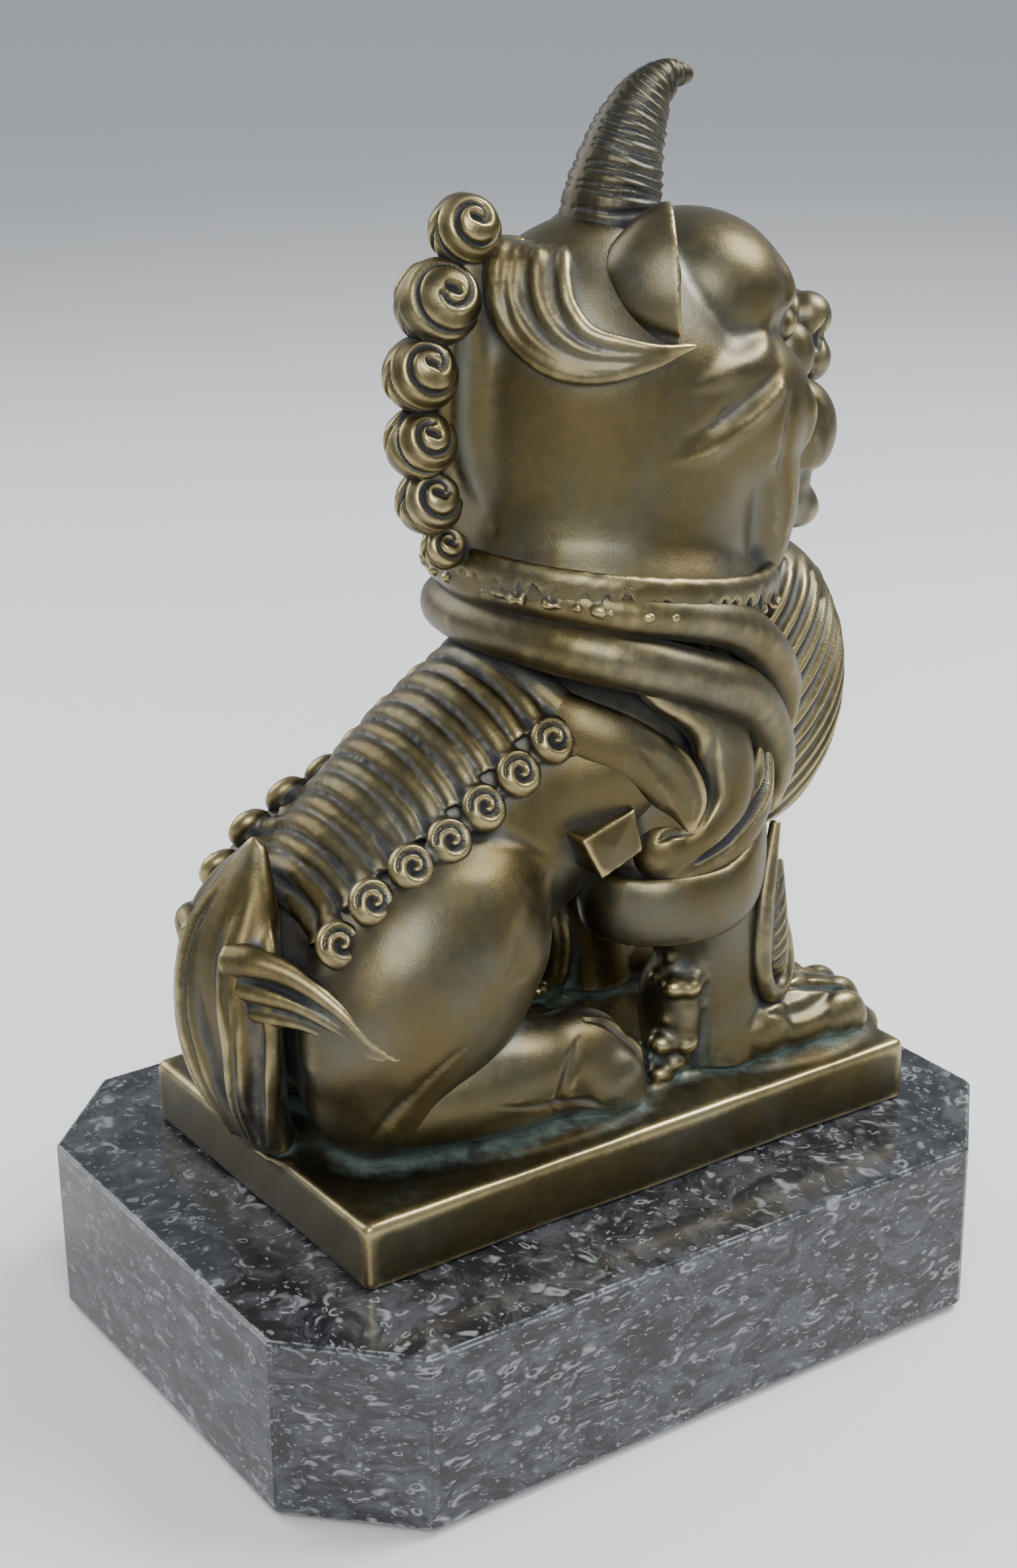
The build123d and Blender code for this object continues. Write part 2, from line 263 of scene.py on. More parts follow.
        # how much each point stands out of its neighbours, kept on the mesh for the patina
        self.turnNormals()
        bend = ((self.at - self.around(self.at)) * self.normals).sum(1) / self.grain
        for turn in range(2):
            bend = self.around(bend)
        broad = bend
        for turn in range(10):
            broad = self.around(broad)
        for name, values in (("fineEdge", bend), ("broadEdge", broad)):
            layer = self.mesh.attributes.new(name, "FLOAT", "POINT")
            layer.data.foreach_set("value", np.clip(values, -1, 1).astype(np.float32))

    def cast(self, name, nodes, finish, flip=False):
        self.wear()
        self.finishMesh(name, self.mesh, nodes, finish)
        if flip:
            other = self.mesh.copy()
            other.transform(Matrix.Diagonal((-1, 1, 1, 1)))
            other.flip_normals()
            self.finishMesh(name.replace("right", "left"), other,
                            [node.replace("right", "left") for node in nodes], finish)

    def finishMesh(self, name, mesh, nodes, finish):
        whole = mesh.copy()
        whole.transform(Matrix.Scale(metre, 4))
        whole.shade_smooth()
        whole.name = name
        whole.materials.append(finish)
        piece = bpy.data.objects.new(name, whole)
        bpy.context.collection.objects.link(piece)
        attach(piece, "root")
        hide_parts(*nodes)
        print("cast", name, len(whole.polygons) * 2, "triangles")


def stage(text):
    print("stage:", text)


# finishes

class Wire:
    # a socket that can be added, multiplied and compared like a number

    def __init__(self, paint, socket):
        self.paint, self.socket = paint, socket

    def maths(self, operation, other):
        return self.paint.node("ShaderNodeMath", {"operation": operation}, {0: self, 1: other})

    def __add__(self, other):
        return self.maths("ADD", other)

    def __sub__(self, other):
        return self.maths("SUBTRACT", other)

    def __mul__(self, other):
        return self.maths("MULTIPLY", other)

    def __rsub__(self, other):
        return self.paint.node("ShaderNodeMath", {"operation": "SUBTRACT"}, {0: other, 1: self})

    __radd__ = __add__
    __rmul__ = __mul__

    def most(self, other):
        return self.maths("MAXIMUM", other)

    def between(self, low, high):
        # 0 below low, 1 above high, a soft step between them
        return self.paint.node("ShaderNodeMapRange", {"interpolation_type": "SMOOTHSTEP"},
                               {"Value": self, "From Min": low, "From Max": high})


class Paint:
    def __init__(self, name):
        self.material = bpy.data.materials.new(name)
        self.material.use_nodes = True
        self.tree = self.material.node_tree
        self.tree.nodes.clear()
        self.output = self.tree.nodes.new("ShaderNodeOutputMaterial")
        self.spot = self.node("ShaderNodeTexCoord", {}, {}, "Object")

    def node(self, kind, settings, inputs, output=0):
        made = self.tree.nodes.new(kind)
        for key, value in settings.items():
            if key == "stops":
                ramp = made.color_ramp
                while len(ramp.elements) < len(value):
                    ramp.elements.new(0.5)
                for element, (place, shade) in zip(ramp.elements, value):
                    element.position = place
                    element.color = (*shade, 1) if isinstance(shade, tuple) else (shade, shade, shade, 1)
            else:
                setattr(made, key, value)
        for key, value in inputs.items():
            socket = made.inputs[key]
            if isinstance(value, Wire):
                self.tree.links.new(value.socket, socket)
            elif isinstance(value, tuple) and len(value) == 3 and socket.type == "RGBA":
                socket.default_value = (*value, 1)
            else:
                socket.default_value = value
        return Wire(self, made.outputs[output])

    def noise(self, scale, detail=4.0, rough=0.55, where=None, warp=0.0):
        return self.node("ShaderNodeTexNoise", {}, {"Vector": where or self.spot, "Scale": scale,
                         "Detail": detail, "Roughness": rough, "Distortion": warp})

    def blend(self, share, first, second, how="MIX"):
        # colours mixed by a share from 0 to 1
        made = self.tree.nodes.new("ShaderNodeMix")
        made.data_type, made.blend_type = "RGBA", how
        for key, value in ((0, share), (6, first), (7, second)):
            if isinstance(value, Wire):
                self.tree.links.new(value.socket, made.inputs[key])
            else:
                made.inputs[key].default_value = (*value, 1) if isinstance(value, tuple) else value
        return Wire(self, made.outputs[2])

    def stretched(self, scale, turn=(0, 0, 0)):
        return self.node("ShaderNodeMapping", {}, {"Vector": self.spot, "Scale": scale,
                         "Rotation": tuple(math.radians(angle) for angle in turn)})

    def finish(self, inputs):
        surface = self.node("ShaderNodeBsdfPrincipled", {}, inputs, "BSDF")
        self.tree.links.new(surface.socket, self.output.inputs["Surface"])
        return self.material


bronzeLook = {
    "brown": (0.108, 0.083, 0.037),     # the patina on open surfaces
    "olive": (0.092, 0.080, 0.042),     # cooler patches in it
    "amber": (0.140, 0.098, 0.038),     # warm flecks
    "gold": (0.46, 0.365, 0.180),       # metal rubbed bright on the edges
    "sootAndShadeTone": (0.016, 0.016, 0.016),      # soot in the hollows, also used as painted shade where parts shut each other in
    "haze": (0.155, 0.160, 0.155),      # dull grey bloom beside the hollows
    "green": (0.24, 0.33, 0.28),        # verdigris by the feet
    "roughness": 0.40,
}


def bronze(name, grimeAndShade=1.0, rubbed=1.0, verdigris=0.0, dull=0.0):
    look, paint = bronzeLook, Paint(name)
    fine = paint.node("ShaderNodeAttribute", {"attribute_name": "fineEdge"}, {}, "Fac")
    broad = paint.node("ShaderNodeAttribute", {"attribute_name": "broadEdge"}, {}, "Fac")
    # ambient occlusion: how shut in each point is, used below to paint shade into the colour
    crevice = 1 - paint.node("ShaderNodeAmbientOcclusion", {"samples": 8, "only_local": False},
                             {"Distance": 0.0045}, "AO")
    patches = paint.noise(55, 5, 0.6)
    mottle = paint.noise(420, 3, 0.65)
    speckle = paint.noise(2600, 2, 0.6)
    skin = paint.blend(patches.between(0.38, 0.66), look["brown"], look["olive"])
    skin = paint.blend(mottle.between(0.35, 0.75) * 0.4, skin, look["amber"])
    skin = paint.blend(paint.noise(28, 4, 0.6).between(0.42, 0.72) * 0.35, skin, look["haze"])
    skin = paint.blend(dull, skin, look["sootAndShadeTone"])
    # darkness in the hollows: soot patina from the curvature, plus painted shade from the ambient occlusion
    hollow = (crevice * 1.5 + broad * -9 + fine * -4 + (mottle - 0.5) * 0.5) * grimeAndShade
    bloom = hollow.between(0.12, 0.75) * 0.55
    skin = paint.blend(bloom, skin, look["haze"])
    # soot colour laid in the hollows, partly real soot and partly painted shade
    sootAndShade = hollow.between(0.42, 1.35)
    skin = paint.blend(sootAndShade, skin, look["sootAndShadeTone"])
    edge = (fine * 7 + broad * 10 + (patches - 0.5) * 0.6 + (mottle - 0.5) * 0.5 - crevice * 0.6) * rubbed
    rub = edge.between(0.28, 1.0)
    skin = paint.blend(rub * 0.7, skin, look["gold"])
    if verdigris:
        low = paint.node("ShaderNodeSeparateXYZ", {}, {0: paint.spot}, "Z")
        nearGround = (1 - low.between(0.0425, 0.054)) * low.between(0.0405, 0.0415)
        crust = nearGround * (paint.noise(160, 5, 0.7) + crevice * 0.35).between(0.55, 0.80) * verdigris
        skin = paint.blend(crust, skin, look["green"])
    rough = look["roughness"] + sootAndShade * 0.3 - rub * 0.08 + (mottle - 0.5) * 0.16 + bloom * 0.12
    relief = paint.node("ShaderNodeBump", {}, {"Strength": 0.34, "Distance": 0.0002,
                        "Height": mottle * 0.6 + speckle * 0.35 + paint.noise(150, 3) * 0.8}, "Normal")
    return paint.finish({"Base Color": skin, "Metallic": 1 - sootAndShade * 0.75, "Roughness": rough,
                         "Normal": relief})


marbleLook = {
    "ground": (0.012, 0.012, 0.014),
    "cloud": (0.062, 0.063, 0.068),
    "shell": (0.36, 0.36, 0.37),
    "edgeHighlightAndChips": (0.55, 0.56, 0.56),
    "roughness": 0.16,
}


def fossilMarble():
    look, paint = marbleLook, Paint("fossilMarble")
    wander = paint.noise(60, 3, 0.6)
    bent = paint.node("ShaderNodeVectorMath", {"operation": "ADD"},
                      {0: paint.stretched((1, 1, 2.2), (8, 4, 20)),
                       1: paint.blend(0.012, (0, 0, 0), Wire(paint, wander.socket.node.outputs["Color"]))})
    clouds = paint.noise(110, 7, 0.72, where=bent, warp=1.1).between(0.40, 0.66)
    skin = paint.blend(clouds, look["ground"], look["cloud"])
    flecks = None
    for scale, low, seed in ((170, 0.34, 1.7), (250, 0.32, 0.0), (420, 0.30, 3.1), (760, 0.26, 7.7)):
        shifted = paint.node("ShaderNodeVectorMath", {"operation": "ADD"}, {0: bent, 1: (seed, seed, seed)})
        cells = paint.node("ShaderNodeTexVoronoi", {"feature": "F1"},
                           {"Vector": shifted, "Scale": scale, "Randomness": 1.0}, "Distance")
        chance = paint.noise(scale * 0.8, 2, 0.5, where=shifted).between(0.53, 0.64)
        ring = 1 - (cells - low * 0.85).maths("ABSOLUTE", 0).between(0.02, 0.13)
        fleck = ring * chance
        flecks = fleck if flecks is None else flecks.most(fleck)
    skin = paint.blend(flecks * 0.5, skin, look["shell"])
    # pale line along the edges: a painted highlight, broken up by noise like chips, and rougher there
    edge = paint.node("ShaderNodeBevel", {"samples": 4}, {"Radius": 0.0006}, "Normal")
    true = paint.node("ShaderNodeNewGeometry", {}, {}, "Normal")
    turned = 1 - paint.node("ShaderNodeVectorMath", {"operation": "DOT_PRODUCT"}, {0: edge, 1: true}, "Value")
    edgeHighlightAndChips = turned.between(0.01, 0.12) * paint.noise(500, 4, 0.7).between(0.42, 0.62)
    skin = paint.blend(edgeHighlightAndChips * 0.8, skin, look["edgeHighlightAndChips"])
    rough = look["roughness"] + flecks * 0.12 + edgeHighlightAndChips * 0.4 + (paint.noise(900, 3) - 0.5) * 0.06
    relief = paint.node("ShaderNodeBump", {}, {"Strength": 0.12, "Distance": 0.0001,
                        "Height": paint.noise(1500, 3) - edgeHighlightAndChips}, "Normal")
    return paint.finish({"Base Color": skin, "Roughness": rough, "Normal": relief,
                         "Specular IOR Level": 0.55})


def plainSteel():
    paint = Paint("zincSteel")
    grain = paint.noise(600, 4, 0.6, where=paint.stretched((1, 1, 8)))
    skin = paint.blend(grain, (0.42, 0.42, 0.43), (0.60, 0.60, 0.60))
    return paint.finish({"Base Color": skin, "Metallic": 1.0, "Roughness": 0.3 + grain * 0.2})


def blackFelt():
    paint = Paint("blackFelt")
    fuzz = paint.noise(1800, 5, 0.75)
    skin = paint.blend(fuzz, (0.010, 0.010, 0.011), (0.035, 0.035, 0.037))
    relief = paint.node("ShaderNodeBump", {}, {"Strength": 0.6, "Distance": 0.0003, "Height": fuzz}, "Normal")
    return paint.finish({"Base Color": skin, "Roughness": 0.95, "Normal": relief, "Sheen Weight": 0.3})


bodyBronze = bronze("bodyBronze")
hairBronze = bronze("hairBronze", grimeAndShade=1.5, rubbed=0.9)
hornBronze = bronze("hornBronze", grimeAndShade=2.2, rubbed=0.5, dull=0.5)
footBronze = bronze("footBronze", grimeAndShade=1.1, rubbed=1.0, verdigris=0.55)
stage("finishes mixed")


# trunk: rump, back, chest and thighs

trunkForm = {
    "grain": 0.6, "soften": (1.5, 10),
    "rump": ((0, 29, 67), (20, 20.5, 25)),
    "seat": ((13, 36, 55), (13, 13, 14)),
    "thigh": ((17, 29.5, 70.5), (13, 24.5, 18.7)),
    "thighLean": -42,
    "chest": ((0, -22, 94), (19.5, 19, 22)),
    "barrel": [(0, 37, 56, 17, 16), (0, 30, 70, 19, 21), (0, 13.5, 85.2, 20.5, 22), (0, -3, 96, 21, 21.6),
               (0, -15, 107, 19, 18), (0, -15, 124, 19, 19)],
}


def makeTrunk():
    form, shape = trunkForm, bmesh.new()
    lump(shape, *form["rump"])
    lump(shape, *form["chest"])
    rope(shape, form["barrel"], count=30, sides=32)
    for side in (-1, 1):
        x, y, z = form["seat"][0]
        lump(shape, (side * x, y, z), form["seat"][1])
        x, y, z = form["thigh"][0]
        lump(shape, (side * x, y, z), form["thigh"][1], (form["thighLean"], 0, 0))
        lump(shape, (side * 15, -8, 98), (10, 15, 12), (-35, 0, 0))
    clay = Clay(shape, form["grain"], form["soften"])
    clay.stroke([(9, 84), (14, 78), (22, 73)], 7, -0.9, "side")    # the flat behind the kneecap
    clay.stroke([(7.5, 80), (9, 73), (12, 67)], 4, 0.6, "side")
    clay.stroke([(29.9, 64.7), (34.3, 61.8), (37.9, 57.7), (42, 52), (43, 46.8)], 1.5, -0.6, "side",
                sharp=1.3)
    clay.stroke([(33, 65.5), (38, 61), (42, 55)], 3.5, 0.25, "side")
    # seam over the thigh
    clay.stroke([(46, 84), (38, 91), (28, 93.5), (18, 93), (9, 88)], 2.6, -0.6, "side")
    clay.turnNormals()
    clay.ripple(14, 0.18, 1)
    clay.ripple(3.2, 0.05, 4)
    return clay


trunk = makeTrunk()
trunk.cast("trunk", ["torso", "neck", "right_haunch", "left_haunch"], bodyBronze)
stage("trunk cast")


# hind feet

hindFootForm = {
    "grain": 0.42, "soften": (0.9, 5),
    "leg": [(-15, 38, 49, 8, 7), (-17, 30, 52, 10, 9.5), (-20, 18, 52, 9.5, 9.5), (-20, 6, 50.5, 7.5, 8)],
    "paw": ((-20, 4.5, 50), (7.5, 11, 9.5)),
    "knuckles": [(-25.5, -0.5), (-20.5, -4.0), (-15.0, -3.6)],
    "toeRadii": (3.6, 6.2, 5.8),
}


def makeHindFoot():
    form, shape = hindFootForm, bmesh.new()
    lump(shape, *form["paw"])
    rope(shape, form["leg"], count=20)
    for x, y in form["knuckles"]:
        lump(shape, (x, y, 47.5), form["toeRadii"], (-12, 0, 0))
        lump(shape, (x, y - 3.6, 44.5), (2.6, 3.2, 3.2))
    clay = Clay(shape, form["grain"], form["soften"])
    for x in (-23.2, -17.8):
        clay.stroke([(x - 0.5, 3, 60), (x - 0.3, -3, 55), (x, -6.5, 50), (x, -8.5, 44)], 1.7, -1.5,
                    sharp=1.2, both=False)
    clay.stroke([(24, 52), (14, 49), (6, 46.5), (0, 44)], 1.4, -0.7, "side", both=False)
    clay.stroke([(6, 57), (11, 52), (13, 46)], 2.2, -0.6, "side", both=False)
    clay.turnNormals()
    clay.ripple(6, 0.12, 2)
    return clay


makeHindFoot().cast("right_hind_leg", ["right_hind_foot"], footBronze, flip=True)


# forelegs: column, broad paw and the tufts behind the shin

forelegForm = {
    "grain": 0.42, "soften": (0.9, 5),
    "column": [(-18, -28, 43, 8.5, 8.5), (-18, -27, 54, 7.6, 8.0), (-17.5, -25, 66, 8.6, 9.8),
               (-17, -21, 76, 10, 13), (-16, -18, 90, 10, 14), (-13, -15, 102, 7, 10)],
    "instep": ((-18, -40, 46), (10, 14.5, 6.5)),
    "toes": [(-25.2, -48.5), (-20.2, -51.5), (-14.8, -51.5), (-9.8, -48.5)],
    "toeRadii": (2.9, 5.6, 4.4),
    "tufts": 46,
}


def makeForeleg():
    form, shape = forelegForm, bmesh.new()
    rope(shape, form["column"], count=26, sides=24)
    lump(shape, *form["instep"])
    lump(shape, (-18, -17.5, 52), (6.5, 4.2, 12))    # the mass that the tufts stand on
    for x, y in form["toes"]:
        lump(shape, (x, y, 45.6), form["toeRadii"])
        lump(shape, (x, y - 3.2, 44.6), (2.5, 2.6, 3.4))
    lump(shape, (-24.6, -33, 47), (3.2, 6, 5))    # dew claw swelling on the outer side
    chance = np.random.default_rng(31)
    for number in range(form["tufts"]):
        height = 43 + 24 * chance.random()
        reach = -18.5 + 5.0 * chance.random() - 0.14 * (height - 44)
        size = 1.5 + 1.3 * chance.random()
        lump(shape, (-18.5 + 10 * (chance.random() - 0.5), reach, height), (size, size * 1.2, size * 0.9),
             detail=2)
    clay = Clay(shape, form["grain"])
    clay.relax(3)
    for x, y in ((-22.7, -50), (-17.5, -52.5), (-12.3, -50)):
        clay.stroke([(x, y + 12, 53), (x, y + 5, 51), (x, y, 48), (x, y - 4, 43)], 1.5, -1.5, sharp=1.2,
                    both=False)
    clay.stroke([(-28, -32, 52), (-27, -40, 50), (-24, -48, 48)], 2.4, -0.7, both=False)
    clay.stroke([(-26, -36, 56), (-22, -42, 54.5), (-16, -44, 53.5)], 2.6, 0.8, both=False)
    clay.turnNormals()
    clay.ripple(6, 0.14, 3)
    return clay


makeForeleg().cast("right_front_leg", ["right_foreleg", "right_forepaw"], footBronze, flip=True)
stage("legs cast")


# chest bib with its slanting ribs

bibForm = {"grain": 0.42, "body": ((0, -46.2, 99), (15.5, 18.8, 26.5)), "lean": 5, "ribs": 15, "step": 4.1}


def makeBib():
    form, shape = bibForm, bmesh.new()
    lump(shape, *form["body"], (form["lean"], 0, 0), detail=5)
    clay = Clay(shape, form["grain"])
    for number in range(form["ribs"]):
        low = 58 + form["step"] * number
        rise = [(-37, low), (-43, low + 5), (-49, low + 10.5), (-54.5, low + 16), (-59, low + 21),
                (-62.3, low + 25.5)]
        clay.stroke(rise, 1.6, -1.0, "side", sharp=1.4, ends=(0.8, 0.6), count=50)
        crest = [(y, z - form["step"] / 2) for y, z in rise]
        clay.stroke(crest, 1.6, 0.35, "side", ends=(0.8, 0.6), count=50)
    clay.stroke([(0, 124), (0, 100), (0, 76)], 1.2, -0.5, "front", sharp=1.3)
    clay.turnNormals()
    clay.relax(1, 0.5)
    return clay


makeBib().cast("bib", ["chest_bib"], bodyBronze)


# collar rolls

rollForm = {
    "grain": 0.5,
    "upper": [(0, 8, 127, 3.4, 3.4), (-13, 4.5, 126.5, 3.6, 3.6), (-21, -5, 124.3, 3.8, 3.8),
              (-23.5, -16, 121.8, 3.9, 3.9), (-22.5, -26, 118.3, 4.1, 4.3), (-20, -34, 112, 4.0, 4.6),
              (-17, -40, 104, 3.4, 4.2), (-16, -42, 95, 1.6, 2.0)],
    "lower": [(0, 7, 119.8, 4.6, 4.6), (-14, 3.5, 119.2, 4.7, 4.7), (-22, -6, 116.3, 4.7, 4.7),
              (-24, -18, 111.6, 4.6, 4.6), (-22.5, -27.5, 106.8, 4.6, 4.6), (-20.5, -34, 100, 4.6, 4.6),
              (-18.5, -38, 92, 3.8, 4.0), (-17.5, -38.5, 84, 1.4, 1.6)],
}


def makeRoll(which):
    shape = bmesh.new()
    right = rollForm[which][::-1]
    rope(shape, right + mirrorAcross(right[:-1])[::-1], across=(0, 0, 1), count=70, sides=20)
    clay = Clay(shape, rollForm["grain"])
    clay.relax(3)
    clay.ripple(12, 0.2, 5)
    clay.ripple(3, 0.04, 6)
    return clay


makeRoll("upper").cast("upper_roll", ["upper_collar_roll"], bodyBronze)
makeRoll("lower").cast("lower_roll", ["lower_collar_roll"], bodyBronze)
stage("bib and collar cast")


# head

headForm = {
    "grain": 0.46, "soften": (1.1, 7),
    "skull": [(0, -14, 116, 19, 20), (0, -15, 122.5, 24.2, 27.2), (0, -15.5, 128, 23.4, 26),
              (0, -17, 136, 22.2, 25.3),
              (0, -18.5, 147, 22.2, 26.3), (0, -19.5, 158, 21.5, 26.5), (0, -21, 164, 18.8, 24.6),
              (0, -24, 169, 14, 18), (0, -27, 171.5, 6, 8)],
    "crown": ((-1, -1, 171), (8, 7, 6.5)),
    "forehead": ((0, -33.4, 167), (17.3, 15, 13.2)),
    "muzzle": ((0, -45.5, 144), (12.5, 14, 10)),
    "jaw": ((0, -45.5, 131.5), (11, 12.5, 6.5)),
    "browBump": ((8.4, -39.6, 168), (7.2, 7, 6)),
    "cheek": ((13, -32, 150), (9.5, 15, 13)),
    "muzzlePad": ((7.3, -50.3, 143.5), (6, 8, 9)),
    "chinLump": ((4.5, -53.5, 129.5), (4.5, 4.5, 4)),
    "eye": ((8.6, -44.8, 161.6), 3.4),
    "jowl": [(-15.5, -36, 153, 4.5, 4.5), (-14, -38.5, 143, 5.5, 5.5), (-12, -40.5, 133, 5.5, 5.5),
             (-9.5, -40.5, 123, 5, 5)],
    "nape": [(0, 5, 178, 3, 5), (0, 8, 170, 4, 6), (0, 10, 158, 4, 6), (0, 10, 146, 4, 6), (0, 8, 134, 3, 5)],
}


def makeHead():
    form, shape = headForm, bmesh.new()
    rope(shape, form["skull"], count=40, sides=44)
    for part in ("crown", "forehead", "muzzle", "jaw"):
        lump(shape, *form[part])
    rope(shape, form["jowl"], count=16)
    rope(shape, mirrorAcross(form["jowl"]), count=16)
    lump(shape, (0, -49, 158), (6.5, 7, 6.5))
    for part in ("browBump", "cheek", "muzzlePad", "chinLump"):
        (x, y, z), radii = form[part]
        lump(shape, (x, y, z), radii)
        lump(shape, (-x, y, z), radii)
    rope(shape, form["nape"], count=20)
    clay = Clay(shape, form["grain"], form["soften"])
    # brow edge, then the eye hollow beneath it
    clay.stroke([(-3.5, -49, 169), (-8.5, -49, 168), (-13, -45, 166.2), (-16, -39, 165)], 3.0, 0.6)
    clay.stroke([(-4, -50, 163.5), (-8.5, -49, 162.6), (-12, -46.5, 162)], 3.0, -1.2)
    clay.stroke([(-10.5, -44, 177), (-13.5, -42, 171), (-14.5, -41, 166)], 3.0, -0.6)    # temple
    clay.stroke([(-3.5, -47, 177), (-4.2, -49, 171), (-3.2, -50, 165)], 2.4, -0.5)
    clay.turnNormals()
    # cheek bone and the folds that run back from the corner of the nose
    clay.stroke([(-17.1, -38, 164.5), (-19.5, -33, 160.5), (-21.3, -26.9, 158.6), (-21.9, -17.9, 156.8)],
                3.6, 0.9)
    clay.stroke([(-20.2, -36, 157.4), (-21.2, -32, 155), (-21.7, -25.3, 152), (-22, -16, 149.2)], 2.6, -0.8,
                sharp=1.6)
    clay.stroke([(-20.8, -35, 154.5), (-21.8, -31.4, 152.3), (-21.8, -26.4, 149.3), (-22, -20, 147),
                 (-21.7, -13.3, 146)],
                3.0, 1.0, ends=(0.6, 0.1))
    clay.stroke([(-19, -39, 156), (-20.2, -36.5, 150), (-19.5, -37, 143), (-17, -40, 135), (-15, -41, 127)],
                2.0, -0.9, sharp=1.4)
    clay.stroke([(-18, -41.5, 153.5), (-18, -43.5, 149.5), (-16.5, -45, 144), (-12.5, -48, 138.5)], 2.8, 1.0)
    clay.stroke([(-13.5, -50, 152), (-13.8, -51.5, 146), (-12.5, -52, 140)], 1.8, -0.7, sharp=1.5)
    # behind the curls
    clay.stroke([(-6.5, 12, 172), (-7.5, 12, 160), (-7.5, 12, 148), (-7, 10, 136)], 3.4, -1.4)
    # mouth line and the round whisker mark beside it
    clay.stroke([(-2, -58, 137.3), (-7, -56, 136.6), (-11, -50.5, 136.2), (-13.5, -44, 136.4)], 1.8, -1.4,
                sharp=1.3)
    clay.stroke([(0, -60, 152), (0, -60, 145), (0, -59, 138)], 1.4, -0.8, sharp=1.4)
    clay.turnNormals()
    ringLine = coil((-10.6, -46.9, 131.6), (-0.8, -0.55, 0), (2.5, 2.5), 1.0, (0, 0, 1), 14, squeeze=0.5)
    clay.stroke(ringLine, 0.9, 0.8, ends=(1, 1))
    clay.stroke([(-10.6, -47.5, 133.2), (-10.8, -47.2, 130)], 0.9, -0.9, sharp=1.3, ends=(1, 1))
    # the cheeks flare out over the frill
    clay.stroke([(0, 12, 130), (-12, 8, 129), (-20, -1, 128), (-24, -14, 126.6), (-22, -27, 125),
                 (-15, -38, 124)],
                7.5, 2.0)
    clay.turnNormals()
    clay.ripple(16, 0.22, 7)
    clay.ripple(3.4, 0.05, 8)
    eyes = bmesh.new()
    (x, y, z), radius = form["eye"]
    for side in (-1, 1):
        lump(eyes, (side * x, y, z), (radius, radius, radius * 0.85))
    eyes.from_mesh(clay.mesh)
    whole = Clay(eyes, form["grain"])
    whole.stroke([(-5.2, -48, 163.6), (-8.6, -48.6, 164), (-12, -46.5, 162.8)], 1.1, -0.8, sharp=1.4)
    return whole


makeHead().cast("head_and_cheeks", ["head", "lower_jaw", "right_brow", "left_brow", "mane_ridge"], bodyBronze)
stage("head cast")


# nose, ears, horn

noseForm = {
    "bridge": ((0, -50, 161), (5, 6, 5)),
    "bulb": ((2.4, -56.4, 160.4), (4.3, 4.3, 4.3)),
    "tip": ((2.9, -56.2, 153.8), (4.1, 4.3, 4.2)),
    "wing": ((7.4, -48.6, 156.0), (3.8, 4.6, 5.4)),
}


def makeNose():
    shape = bmesh.new()
    for (x, y, z), radii in noseForm.values():
        lump(shape, (x, y, z), radii)
        lump(shape, (-x, y, z), radii)
    clay = Clay(shape, 0.3, (0.55, 2))
    clay.stroke([(-7, -58, 157.8), (-3, -60.5, 157.2), (0, -60.5, 157)], 1.5, -0.8, sharp=1.5)
    clay.stroke([(-6.5, -57.5, 161), (-6.4, -56, 157), (-6.8, -55, 152)], 1.4, -1.0, sharp=1.4)
    clay.stroke([(0, -61, 162), (0, -61.5, 156), (0, -60.5, 150)], 1.2, -0.6, sharp=1.4)
    clay.stroke([(-8.5, -55, 152.6), (-10.6, -51.5, 151.8)], 1.1, -0.8, sharp=1.4)
    return clay


makeNose().cast("nose_bulb", ["nose"], bodyBronze)

earForms = {
    "right_ear": {"top": (-12.4, -21.2, 182.4), "bottom": (-21.2, -16.6, 162.2), "deep": 11.8, "thick": 6.8},
    "left_ear": {"top": (12.0, -24.5, 179.0), "bottom": (21.2, -19.0, 162.2), "deep": 9.0, "thick": 6.6},
}
earWall = 1.6


def makeEar(node, side):
    # a leaf folded into a cup, open to the front
    form, shape = earForms[node], bmesh.new()
    top, bottom = Vector(form["top"]), Vector(form["bottom"])
    middle = (top + bottom) / 2 + Vector((1.4 * -side, -0.2, 0.4))
    tall = (top - bottom).normalized()
    front = Vector((0.549 * side, -0.836, 0))
    front = (front - tall * tall.dot(front)).normalized()
    outer = front.cross(tall)
    place = Matrix((outer * form["thick"], front * form["deep"],
                    tall * (top - bottom).length / 2)).transposed().to_4x4()
    place.translation = middle
    bmesh.ops.create_icosphere(shape, subdivisions=4, radius=1, matrix=place)
    bmesh.ops.bisect_plane(shape, geom=shape.verts[:] + shape.edges[:] + shape.faces[:], dist=1e-5,
                           plane_co=middle, plane_no=front, clear_outer=True)
    for vert in shape.verts:
        share = (vert.co - middle).dot(tall) / (top - bottom).length * 2
        back = front * (vert.co - middle).dot(front)
        vert.co -= back * max(0.0, share) ** 1.5 * 0.35
    bmesh.ops.solidify(shape, geom=shape.faces[:], thickness=earWall)
    bmesh.ops.recalc_face_normals(shape, faces=shape.faces)
    lump(shape, middle + Vector((3.5 * -side, 2, -1)), (4, 5, 6.5))
    clay = Clay(shape, 0.34)
    clay.relax(3)
    return clay


makeEar("right_ear", -1).cast("right_ear_cup", ["right_ear"], bodyBronze)
makeEar("left_ear", 1).cast("left_ear_cup", ["left_ear"], bodyBronze)

hornForm = {
    "path": [(0, -18.8, 174, 8, 9), (0, -18.8, 181, 7.6, 8.4), (0, -20.2, 187, 6.7, 7.2),
             (0, -22.3, 192.5, 5.6, 6),
             (0, -25.6, 197.3, 4.2, 4.4), (0, -29.6, 199.8, 2.6, 2.7), (0, -33.4, 199.8, 1.3, 1.3)],
    "rings": 20, "ringHeight": 0.55,
}


